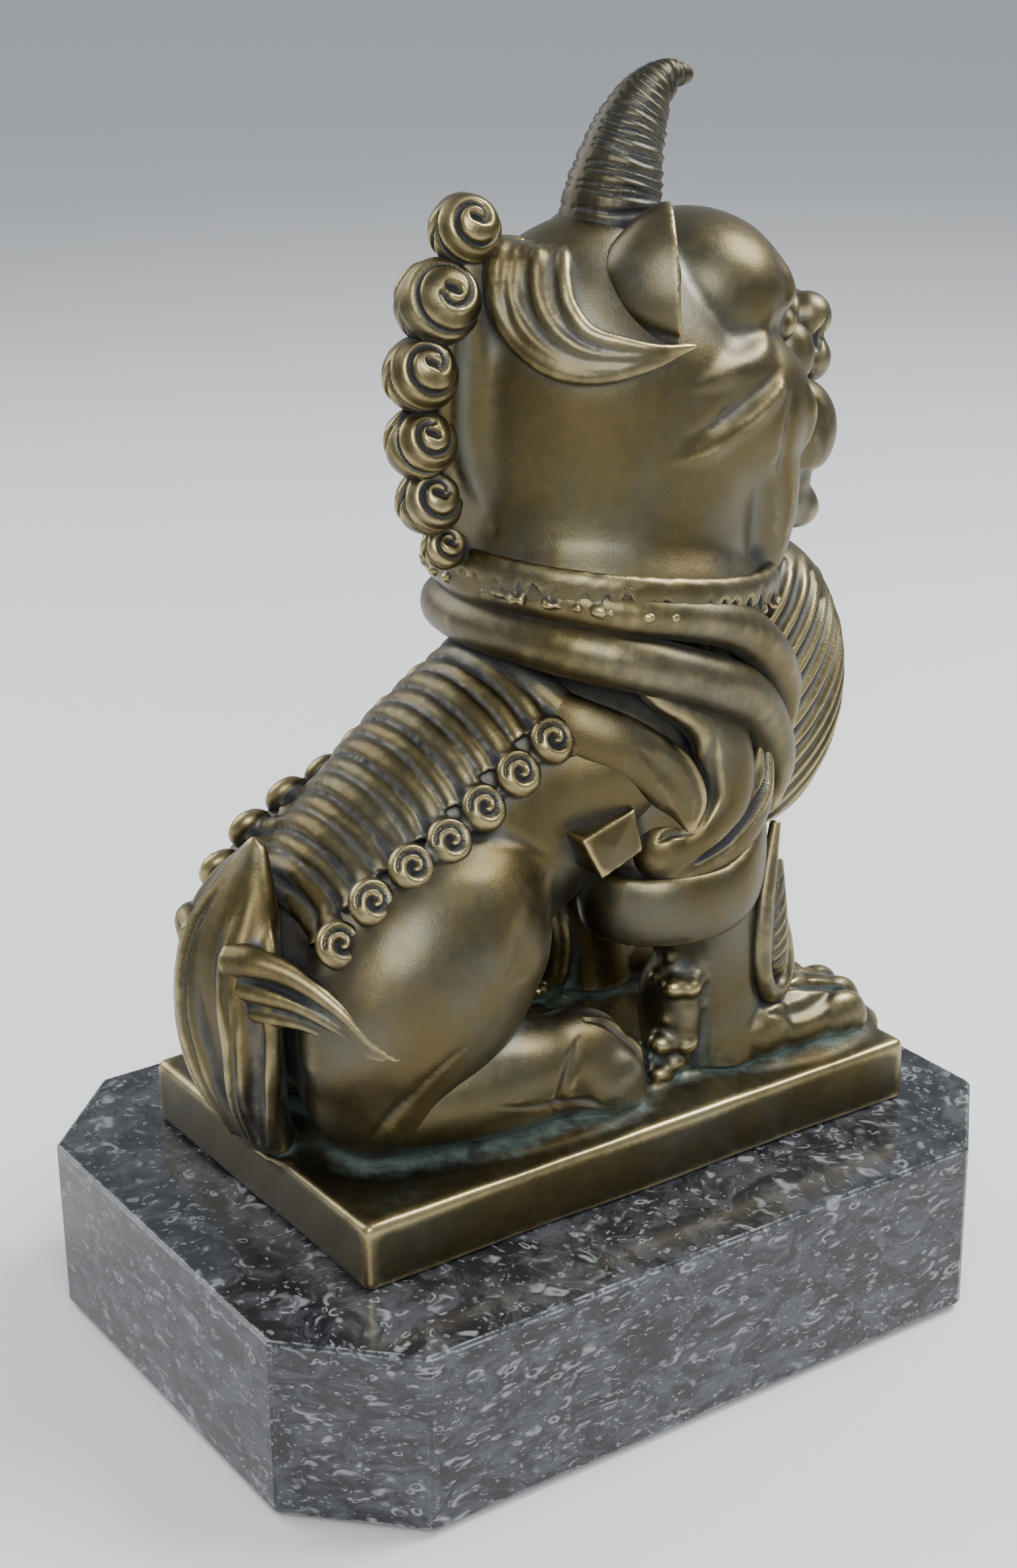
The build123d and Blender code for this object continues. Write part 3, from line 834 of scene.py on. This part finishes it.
def makeHorn():
    form, shape = hornForm, bmesh.new()
    rope(shape, form["path"], count=40, sides=28)
    clay = Clay(shape, 0.32)
    chance = np.random.default_rng(8)
    line = flow(form["path"], 200)
    for number in range(form["rings"]):
        place = int(34 + 150 * number / form["rings"] + 3 * chance.random())
        x, y, z, wide, deep = line[place]
        ahead = Vector(line[place + 1][:3] - line[place][:3]).normalized()
        beside = Vector((1, 0, 0))
        above = ahead.cross(beside)
        tilt = 0.8 * (chance.random() - 0.5)
        for side in (-1, 1):
            ring = []
            for angle in np.linspace(-80, 135, 10) + 8 * (chance.random() - 0.5):
                turn = math.radians(angle)
                # the rings stop short of the smooth back edge
                out = beside * side * math.cos(turn) * wide * 1.05 - above * math.sin(turn) * deep * 1.05
                wander = tilt * math.sin(turn) + 0.18 * math.sin(3.0 * turn + number)
                ring.append(Vector((x, y, z)) + out + ahead * wander)
            clay.stroke(ring, 0.8, -form["ringHeight"], sharp=1.3, ends=(0.5, 0.5), both=False)
    clay.turnNormals()
    clay.ripple(1.6, 0.06, 9)
    clay.stroke([(0.2, -33.5, 201.2), (0, -32, 201.6)], 0.9, -0.9, ends=(1, 1))
    return clay


makeHorn().cast("ribbed_horn", ["horn"], hornBronze)
stage("nose, ears and horn cast")


# hair and curls

hairForm = {
    "strands": 6,
    "outer": [(1.5, -1.5, 177.6), (-3.0, 4.4, 176), (-5, 6.2, 170), (-8.6, 5.2, 164.5), (-14.3, 1.8, 160.8),
              (-18.6, -3.6, 160), (-21.6, -10, 161.6), (-22.6, -17.5, 163.2)],
    "inner": [(-5.6, -5.5, 177.0), (-8.8, -3.0, 176), (-11.3, -1.2, 173), (-13.4, -0.8, 169.5),
              (-16.2, -2.4, 166),
              (-19.4, -6.6, 164.4), (-21.8, -11, 163.6), (-22.6, -17.5, 163.4)],
    "thick": [0.7, 1.8, 1.9, 1.7, 1.6, 1.4, 1.0, 0.4],
}


def makeHair():
    form, shape = hairForm, bmesh.new()
    outer, inner = np.array(form["outer"]), np.array(form["inner"])
    chance = np.random.default_rng(12)
    for number in range(form["strands"]):
        share = number / (form["strands"] - 1)
        line = outer * (1 - share) + inner * share
        lift = 0.5 * (number % 2)
        strand = []
        for spot, thick in zip(line, form["thick"]):
            size = thick * (0.75 + 0.35 * chance.random()) * (1.25 if number == 0 else 0.85)
            strand.append((spot[0] - lift, spot[1] + lift * 0.4, spot[2], size, size))
        rope(shape, strand, across=(0, 0, 1), count=36, sides=10)
    clay = Clay(shape, 0.32)
    clay.relax(1)
    clay.ripple(2.5, 0.06, 11)
    return clay


makeHair().cast("right_hair", ["right_hair_sweep"], hairBronze, flip=True)

curlForm = {
    "places": [(0, 8.4, 180.2, 5.5), (0, 13.5, 170.1, 6.6), (0, 16.8, 159.8, 5.8), (0, 17.1, 149.5, 5.6),
               (0, 15.8, 140.3, 5.2), (0, 13.3, 132.8, 3.6)],
    "starts": [(0, -1, 0.3), (0, 0.5, -1), (0, -1, -0.2), (0, 0.6, 1), (0, -0.8, 0.7), (0, -1, 0)],
    "pole": (-0.87, 0.1, 0.47),
}


def makeCurl(spot, start):
    # a ball wound from one thick strand, with an eye on each side
    shape = bmesh.new()
    radius = spot[3]
    lump(shape, spot[:3], (radius * 1.02, radius, radius), detail=4)
    clay = Clay(shape, 0.3)
    pole = Vector(curlForm["pole"])
    line = ballCoil(spot[:3], pole, radius, 2.1, 98, 16, start)
    clay.stroke(line, 1.15, -0.95, sharp=1.4, ends=(0.35, 0.9), count=70)
    eye = Vector(spot[:3]) + pole * radius
    clay.stroke([eye + Vector((0, 0.5, 0.3)), eye - Vector((0, 0.5, 0.4))], 1.25, -1.3, ends=(1, 1))
    clay.turnNormals()
    clay.stroke(ballCoil(spot[:3], pole, radius, 1.9, 88, 30, start), 1.0, 0.3, ends=(0.3, 0.8), count=60)
    clay.turnNormals()
    clay.ripple(2.2, 0.07, 13)
    return clay


for number, (spot, start) in enumerate(zip(curlForm["places"], curlForm["starts"]), start=1):
    makeCurl(spot, start).cast(f"curl_{number}", [f"mane_curl_{number}"], hairBronze)


# frill

frillForm = {
    "hem": [(0, 10.5, 131), (-13, 7.8, 130.6), (-22, -2, 129), (-25.2, -14, 127), (-23.6, -27, 124.8),
            (-17.5, -38, 123.2), (-9, -44, 122.4)],
    "notches": 46, "crumbs": 80,
}


def makeFrill():
    form, shape = frillForm, bmesh.new()
    right = [(x * 0.978, (y + 16) * 0.978 - 16, z - 1.2, 2.9, 1.6) for x, y, z in form["hem"]][::-1]
    whole = right + mirrorAcross(right[:-1])[::-1]
    rope(shape, whole, across=(0, 0, 1), count=110, sides=16)
    chance = np.random.default_rng(21)
    line = flow([spot[:3] for spot in whole], 400)
    for number in range(form["crumbs"]):
        x, y, z = line[int(399 * chance.random())]
        size = 0.6 + 0.9 * chance.random()
        out = Vector((x, y + 16, 0)).normalized() * 0.8 * chance.random()
        lump(shape, Vector((x, y, z - 2.6 - 0.5 * chance.random())) + out, (size * 1.5, size * 1.5, size),
             detail=2)
    clay = Clay(shape, 0.38)
    for number in range(form["notches"]):
        place = int(4 + 392 * (number + 0.6 * chance.random()) / form["notches"])
        x, y, z = line[min(place, 399)]
        out = Vector((x, y + 16, 0)).normalized() * 1.9
        spot = Vector((x, y, z)) + out
        high = 2.2 * chance.random() - 1.0
        width = 0.6 + 0.8 * chance.random()
        depth = -0.4 - 0.8 * chance.random()
        cut = [spot + Vector((0, 0, rise)) for rise in (high, -1.6, -3.4)]
        clay.stroke(cut, width, depth, sharp=1.4, ends=(0.2, 1), both=False)
    clay.turnNormals()
    clay.ripple(1.8, 0.08, 15)
    return clay


makeFrill().cast("frill", ["neck_frill"], hairBronze)
stage("hair, curls and frill cast")


# leg dress: cuff, drapes, ball, tassel and tag

cuffForm = {"centre": (-17, -18.5, 74.8), "reach": (10.9, 14.8), "rise": 7.5, "height": 6.0, "thick": 2.0}


def makeBand():
    form, shape = cuffForm, bmesh.new()
    x, y, z = form["centre"]
    hoop = []
    for angle in np.linspace(0, 2 * math.pi, 40):
        forward = max(0.0, math.cos(angle))
        hoop.append((x - form["reach"][0] * math.sin(angle), y - form["reach"][1] * math.cos(angle),
                     z + form["rise"] * forward ** 2.2, form["height"], form["thick"]))
    rope(shape, hoop, across=(0, 0, 1), count=90, sides=16)
    rope(shape, [(-17, -19.5, 70, 10, 13.5), (-17, -19.5, 79, 10, 13.5)], sides=28, count=8)
    clay = Clay(shape, 0.42)
    clay.relax(3)
    clay.ripple(5, 0.15, 16)
    return clay


makeBand().cast("right_cuff", ["right_leg_band"], bodyBronze, flip=True)

leafForm = {
    "side": [(-15, 3.6, 107.5, 4.4, 2.0), (-18.6, 0.8, 105.8, 4.8, 2.2), (-22.0, -4.4, 103, 4.8, 2.5),
             (-23.8, -9.7, 98.6, 4.9, 2.5), (-24.8, -14, 93, 4.0, 2.3), (-26.2, -14.9, 86.8, 0.4, 0.6)],
    "sideAcross": (0, -0.45, 0.9),
    "front": [(-18, -11, 114, 6.0, 3.0), (-20.5, -14.5, 109, 6.0, 3.0), (-23, -20.5, 103, 6.2, 3.4),
              (-24, -23.5, 97, 5.6, 3.4),
              (-25, -23, 91, 4.6, 3.2), (-25.2, -18.5, 86.4, 3.8, 3.2), (-23.5, -14, 84, 4.2, 4.0)],
    "blade": [(-21, -34, 99, 0.8, 0.8), (-22.6, -32, 93.6, 2.8, 2.0), (-24.6, -28.5, 87.2, 3.6, 2.2),
              (-26.2, -21, 82.6, 3.2, 2.2), (-25, -13, 80.6, 2.4, 2.4), (-21.5, -9.5, 81.6, 1.2, 1.6)],
    "ball": ((-22.2, -12.4, 84.2), (5.2, 5.6, 5.6)),
}


def makeDrapes():
    form, shape = leafForm, bmesh.new()
    rope(shape, form["side"], across=form["sideAcross"], count=30, sides=20)
    clay = Clay(shape, 0.38)
    clay.relax(4)
    clay.stroke([(-23, -9, 104), (-25, -14.5, 98.5), (-26, -16.5, 92.5), (-26.4, -15.6, 87.5)], 1.3, 0.7,
                ends=(0.5, 0.8))
    clay.stroke([(-24, -6, 102.5), (-26, -12, 96), (-26.4, -14, 90)], 2.6, -0.5)
    clay.turnNormals()
    clay.ripple(6, 0.12, 17)
    return clay


makeDrapes().cast("right_drape", ["right_shoulder_drape"], bodyBronze, flip=True)


def makeBall():
    form, shape = leafForm, bmesh.new()
    lump(shape, *form["ball"])
    rope(shape, form["front"], across=(0, 0.8, 0.6), count=30, sides=20)
    rope(shape, form["blade"], across=(0, 0.6, 0.8), count=34, sides=18)
    clay = Clay(shape, 0.38)
    clay.relax(3)
    # the dark slit between the front leaf and the blade, and the edge round the ball
    clay.stroke([(-25, -33, 98), (-25, -31.5, 92), (-27, -27.2, 88.6), (-28.2, -20.8, 85),
                 (-27.5, -15, 82.6)],
                1.3, -1.6, sharp=1.2, ends=(0.6, 0.3))
    clay.stroke([(-25, -17, 105), (-27, -19.5, 99), (-28.5, -19.5, 93), (-29, -16, 88.6)], 1.6, 0.5)
    clay.stroke([(-27, -7.5, 88), (-28, -11, 89.6), (-28.2, -14.6, 88.2)], 1.1, -0.8, sharp=1.3)
    clay.turnNormals()
    clay.ripple(6, 0.12, 18)
    return clay


makeBall().cast("right_scroll_leaf", ["right_elbow_scroll"], bodyBronze, flip=True)

tasselForm = {
    "loop": [(-20, -37.8, 82, 1.0, 1.0), (-23.4, -33.5, 74, 1.3, 1.7), (-25.2, -31.2, 66, 1.4, 1.9),
             (-25.4, -31, 59, 1.5, 1.9), (-24.4, -33.4, 53.8, 1.6, 1.8), (-22.6, -37, 52.6, 1.7, 1.8),
             (-21, -39.8, 55, 1.7, 1.7), (-20.4, -40, 60, 1.6, 1.5), (-20.4, -38.6, 66, 1.3, 1.3),
             (-20.6, -37.6, 72, 0.8, 0.8)],
    "fill": [(-21.6, -36.5, 76, 1.2, 1.6), (-23, -35.4, 68, 1.6, 2.6), (-23.2, -35.4, 61, 1.8, 2.9),
             (-22.6, -36.6, 56.5, 1.5, 2.4)],
    "grooves": 6, "lowest": 57, "spacing": 2.5,
}


def makeTassel():
    shape = bmesh.new()
    rope(shape, tasselForm["loop"], across=(-1, 0, 0), count=50, sides=12)
    rope(shape, tasselForm["fill"], across=(-1, 0, 0), count=24, sides=12)
    clay = Clay(shape, 0.32)
    clay.relax(1)
    for number in range(tasselForm["grooves"]):
        high = tasselForm["lowest"] + tasselForm["spacing"] * number
        clay.stroke([(-25.4, -33, high), (-25.2, -35.2, high + 1.6), (-24.6, -38, high + 4.6)], 0.8, -0.5,
                    sharp=1.3)
    clay.turnNormals()
    return clay


makeTassel().cast("right_tassel", ["right_leg_tassel"], bodyBronze, flip=True)

tagForm = {
    "corners": [(5.4, 90.4), (-5.2, 93.2), (-6.6, 85.8), (2.2, 83.4)],
    "outer": (-25.2, -24.8, -25.0, -26.2), "root": -17.5,
}


def makeTag():
    shape = bmesh.new()
    for (y, z), x in zip(tagForm["corners"], tagForm["outer"]):
        shape.verts.new((x, y, z))
        shape.verts.new((tagForm["root"], y, z))
    shape.verts.new((-26.0, -0.6, 88.2))    # the low ridge across its face
    bmesh.ops.convex_hull(shape, input=shape.verts)
    bmesh.ops.recalc_face_normals(shape, faces=shape.faces)
    clay = Clay(shape, 0.32)
    clay.relax(3)
    clay.ripple(3, 0.08, 19)
    return clay


makeTag().cast("right_tag", ["right_side_tag"], bodyBronze, flip=True)
stage("leg dress cast")


# back straps and scrolls

strapForm = {
    "count": 14, "crest": (9.0, 2.85, 115.2, -0.81), "end": (6.3, 3.18, 106.2, -2.06),
    "reach": 15.6, "wide": 1.95, "thick": 1.45, "scroll": 3.9,
}


def strapLine(number, far):
    # from the crest of the back down to the strap's end, laid on the trunk
    form = strapForm
    crestY = form["crest"][0] + form["crest"][1] * number
    crestZ = form["crest"][2] + form["crest"][3] * (crestY - 8)
    endY = form["end"][0] + form["end"][1] * number
    endZ = form["end"][2] + form["end"][3] * number
    reach = form["reach"] - (2.5 if number > 11 else 0)
    line = []
    for share in np.linspace(0, far, 9):
        turn = share * math.pi / 2
        line.append((-reach * math.sin(turn), crestY + (endY - crestY) * share ** 2,
                     endZ + (crestZ - endZ) * math.cos(turn)))
    return trunk.lay(line)


def scrollPlace(number):
    # the middle of the scroll that ends an even strap
    half = number / 2
    return Vector(trunk.lay([(-17.5, 5.9 + 6.4 * half, 104.6 - 4.1 * half)])[0])


def makeStraps():
    form, shape = strapForm, bmesh.new()
    chance = np.random.default_rng(5)
    outward = Vector((-0.86, 0.12, 0.5))
    scrolls = []
    for number in range(form["count"]):
        scrolled = number % 2 == 0
        line = strapLine(number, 1.0 if scrolled else 0.9)
        wide = form["wide"] * (1.0 if scrolled else 0.9)
        points = []
        for spot in line:
            size = wide * (0.94 + 0.12 * chance.random())
            lift = 0.25 if scrolled else -0.05
            points.append((spot[0], spot[1], spot[2] + lift, size, form["thick"]))
        if scrolled:
            middle = scrollPlace(number) + outward * 0.8
            scrolls.append(middle)
            points[-1] = (middle.x, middle.y - 0.3, middle.z + 0.4, wide * 1.4, form["thick"])
        points = points[::-1]
        rope(shape, points + mirrorAcross(points[:-1])[::-1], across=(0, 0.78, -0.62), count=64, sides=12)
    for middle in scrolls:
        for side in (-1, 1):
            lump(shape, (middle.x * -side, middle.y, middle.z), (2.5, form["scroll"], form["scroll"]),
                 (0, 28 * -side, 0), detail=3)
    # the broad first strap that wraps the first scroll
    collar = [(-17.6, 3.2, 101.8, 1.6, 1.5), (-19.0, 1.4, 104.0, 2.2, 1.6), (-17.2, 1.6, 107.6, 2.6, 1.6),
              (-12.5, 4.2, 111.6, 2.6, 1.6), (-6, 6.2, 114.4, 2.4, 1.5), (0, 6.6, 115.4, 2.2, 1.5)]
    rope(shape, collar + mirrorAcross(collar[:-1])[::-1], across=(0, 0.85, -0.5), count=60, sides=12)
    clay = Clay(shape, 0.34)
    for middle in scrolls:
        face = middle + outward * 2.2
        groove = coil(face, outward, (3.2, 0.4), 1.2, (0, 1, 0.1), 36)
        clay.stroke(groove, 1.0, -1.35, sharp=1.2, ends=(0.5, 1.2), count=60)
    clay.turnNormals()
    clay.ripple(2.0, 0.07, 20)
    return clay


makeStraps().cast("straps", ["spine_strips", "right_spine_scrolls", "left_spine_scrolls"], hairBronze)
stage("straps cast")


# tail

tailForm = {
    "core": [(0, 50, 43, 8, 4), (0, 53, 56, 11.2, 5.2), (0, 53.6, 72, 11.4, 6.4), (0, 51, 84, 7.4, 4.6),
             (0, 48.2, 92.4, 1.6, 1.4)],
    "strands": [
        [(0, 48.4, 93.2, 0.8), (1.2, 52, 87, 2.2), (3.4, 56.6, 78, 3.3), (2.6, 59.2, 68, 3.3),
         (0.4, 58.6, 57, 2.8), (-0.6, 54.6, 45, 1.6)],
        [(-1.2, 49, 91, 0.8), (-4.6, 52.6, 84, 2.3), (-6.6, 56.8, 75, 3.2), (-8.4, 57.4, 64, 3.2),
         (-6.2, 56.4, 54, 2.6), (-3.4, 53.4, 45, 1.5)],
        [(1.6, 49, 91, 0.8), (6.2, 52, 84, 2.3), (9.2, 54.6, 75, 3.0), (9.4, 56.4, 64, 3.1),
         (6.0, 56.4, 53, 2.6), (2.6, 53.4, 45, 1.5)],
        [(-7, 51, 83, 0.8), (-10.8, 53.2, 75, 2.1), (-11.6, 54.2, 65, 2.4), (-9.4, 53.6, 54, 2.0),
         (-6.4, 52, 45, 1.4)],
        [(7, 50.6, 83, 0.8), (11.2, 52.2, 75, 2.1), (12.2, 53.6, 65, 2.3), (9.6, 53.4, 54, 2.0),
         (6.0, 52, 45, 1.4)],
    ],
}


def makeTail():
    form, shape = tailForm, bmesh.new()
    rope(shape, form["core"], count=24, sides=24)
    for strand in form["strands"]:
        rope(shape, [(*spot, spot[3] * 0.92) for spot in strand], across=(1, 0, 0), count=34, sides=12)
    clay = Clay(shape, 0.42)
    clay.relax(2)
    for strand in form["strands"]:
        for shift in (-0.9, 1.1):
            line = [(x + shift * thick * 0.5, z) for x, y, z, thick in strand[1:]]
            clay.stroke(line, 0.9, -0.6, "back", sharp=1.3, ends=(0.2, 0.6), both=False, count=40)
    clay.turnNormals()
    clay.ripple(4, 0.1, 22)
    return clay


makeTail().cast("tail_tuft", ["tail"], hairBronze)

lockForm = {
    "strands": [
        [(-6, 56.5, 77, 3.2), (-11, 55.5, 78.2, 2.5), (-16, 51.6, 76.6, 1.8), (-21.8, 47.8, 72.6, 1.3),
         (-25.4, 44.8, 67.8, 0.9), (-27.6, 40.6, 64.4, 0.35)],
        [(-6, 57, 73.4, 2.8), (-11, 55.6, 73.6, 2.0), (-16.6, 51.6, 72.4, 1.5), (-21.8, 48.2, 69.8, 1.1),
         (-25.4, 45, 66.4, 0.7), (-27.4, 41, 64.2, 0.3)],
        [(-6, 56, 69.4, 2.6), (-11.2, 54.8, 69.8, 1.9), (-17, 50.8, 69.2, 1.3), (-22, 47.8, 67.4, 1.0),
         (-25.6, 44.6, 65.2, 0.6), (-27.2, 41.4, 64, 0.3)],
    ],
    "web": [(-8, 53, 73, 5, 3), (-14, 50.6, 73, 4.4, 2.4), (-20, 47, 70.4, 3.0, 2.0),
            (-24.6, 43.8, 67, 1.2, 1.2)],
    "grooves": {
        "right_tail_lock": [(-8, 58, 75.4), (-14, 54, 75), (-20, 49.6, 71.8)],
        "left_tail_lock": [(8, 58, 75), (14, 54, 74.6), (20, 49, 71.6)],
    },
    "farShare": 0.86,
}


def makeLock(name, node, scale):
    shape = bmesh.new()
    for strand in lockForm["strands"]:
        rope(shape, [(x * scale, y, z, thick, thick) for x, y, z, thick in strand], across=(0, 0, 1),
             count=34, sides=12)
    rope(shape, [(x * scale, y, z, wide, deep) for x, y, z, wide, deep in lockForm["web"]], across=(0, 0, 1),
         count=24)
    clay = Clay(shape, 0.36)
    clay.relax(1)
    clay.stroke(lockForm["grooves"][node], 0.8, -0.5, sharp=1.3, both=False)
    clay.turnNormals()
    clay.cast(name, [node], hairBronze)


makeLock("right_lock", "right_tail_lock", 1)
makeLock("left_lock", "left_tail_lock", -lockForm["farShare"])
stage("tail cast")


# ground plate

plateForm = {"size": (68, 107.5, 11), "centre": (0.5, -2.5, 36.5), "pebbles": 90}


def makePlate():
    form, shape = plateForm, bmesh.new()
    place = Matrix.Translation(form["centre"]) @ Matrix.Diagonal((*form["size"], 1))
    bmesh.ops.create_cube(shape, size=1, matrix=place)
    bmesh.ops.bevel(shape, geom=shape.edges[:], offset=1.0, affect="EDGES", segments=3, profile=0.5,
                    material=-1)
    chance = np.random.default_rng(44)
    for number in range(form["pebbles"]):
        x = -17 + 11 * (chance.random() - 0.5)
        y = -14 + 12 * (chance.random() - 0.5)
        size = 0.7 + 1.2 * chance.random()
        side = 1 if number % 3 else -1
        lump(shape, (x * side, y, 41.6), (size, size * 1.2, size * 0.9), detail=2)
    # low swells of ground round the feet
    for side in (-1, 1):
        lump(shape, (side * 19, -42, 41.6), (12.5, 19, 1.8), detail=3)
        lump(shape, (side * 20, 8, 41.6), (10.5, 22, 1.6), detail=3)
    lump(shape, (0, 40, 41.4), (20, 13, 1.7), detail=3)
    clay = Clay(shape, 0.55)
    clay.ripple(15, 0.22, 23)
    clay.ripple(5, 0.08, 24)
    return clay


makePlate().cast("ground_slab", ["bronze_ground_plate"], footBronze)
stage("ground cast")


# carried parts

def dress(node, material):
    thing = bpy.data.objects[node]
    thing.data.materials.clear()
    thing.data.materials.append(material)


dress("marble_plinth", fossilMarble())
dress("felt_pad", blackFelt())
for node in ("mounting_studs", "stud_washers", "stud_nuts"):
    dress(node, plainSteel())


# room, light and camera

roomForm = {
    "floorSize": 25, "floor": (0.78, 0.77, 0.75, 1), "floorRoughness": 0.7,
    "sky": (0.84, 0.91, 1.0, 1), "skyStrength": 0.55,
}


def makeRoom():
    form, floor = roomForm, bmesh.new()
    bmesh.ops.create_grid(floor, x_segments=2, y_segments=2, size=form["floorSize"])
    mesh = bpy.data.meshes.new("floor")
    floor.to_mesh(mesh)
    floor.free()
    ground = bpy.data.objects.new("floor", mesh)
    bpy.context.collection.objects.link(ground)
    paint = Paint("paleFloor")
    mesh.materials.append(paint.finish({"Base Color": form["floor"], "Roughness": form["floorRoughness"]}))
    sky = bpy.data.worlds.new("studio")
    sky.use_nodes = True
    glow = sky.node_tree.nodes["Background"].inputs
    glow["Color"].default_value, glow["Strength"].default_value = form["sky"], form["skyStrength"]
    bpy.context.scene.world = sky


lamps = {
    "keyWindow": {"at": (-0.15, -0.55, 0.75), "size": 0.45, "power": 11, "tint": (0.95, 0.98, 1.0)},
    "backWindow": {"at": (-0.65, 0.35, 0.60), "size": 0.5, "power": 7, "tint": (0.93, 0.97, 1.0)},
    "fill": {"at": (0.60, 0.30, 0.50), "size": 0.6, "power": 4, "tint": (0.95, 0.97, 1.0)},
}


def makeLamps():
    for name, given in lamps.items():
        light = bpy.data.lights.new(name, "AREA")
        light.shape = "SQUARE"
        light.size, light.energy, light.color = given["size"], given["power"], given["tint"]
        lamp = bpy.data.objects.new(name, light)
        lamp.location = given["at"]
        lamp.rotation_euler = (Vector((0, 0, 0.1)) - Vector(given["at"])).to_track_quat("-Z", "Y").to_euler()
        bpy.context.collection.objects.link(lamp)


cameraForm = {
    "at": (-0.31022, 0.213988, 0.233605), "yaw": 2.152, "pitch": 0.364, "roll": -0.019,
    "lens": 57.08, "shift": (0.0277, 0.0036),
}


def makeCamera():
    form = cameraForm
    level = math.cos(form["pitch"])
    ahead = Vector((math.sin(form["yaw"]) * level, math.cos(form["yaw"]) * level, -math.sin(form["pitch"])))
    right = ahead.cross(Vector((0, 0, 1))).normalized()
    above = right.cross(ahead)
    c, s = math.cos(form["roll"]), math.sin(form["roll"])
    right, above = c * right + s * above, -s * right + c * above
    data = bpy.data.cameras.new("mainView")
    data.lens, data.sensor_width = form["lens"], 36
    data.shift_x, data.shift_y = form["shift"]
    data.clip_start = 0.02
    camera = bpy.data.objects.new("mainView", data)
    camera.matrix_world = Matrix((right, above, -ahead)).transposed().to_4x4()
    camera.location = form["at"]
    bpy.context.collection.objects.link(camera)
    bpy.context.scene.camera = camera


makeRoom()
makeLamps()
makeCamera()
stage("room lit, camera set")
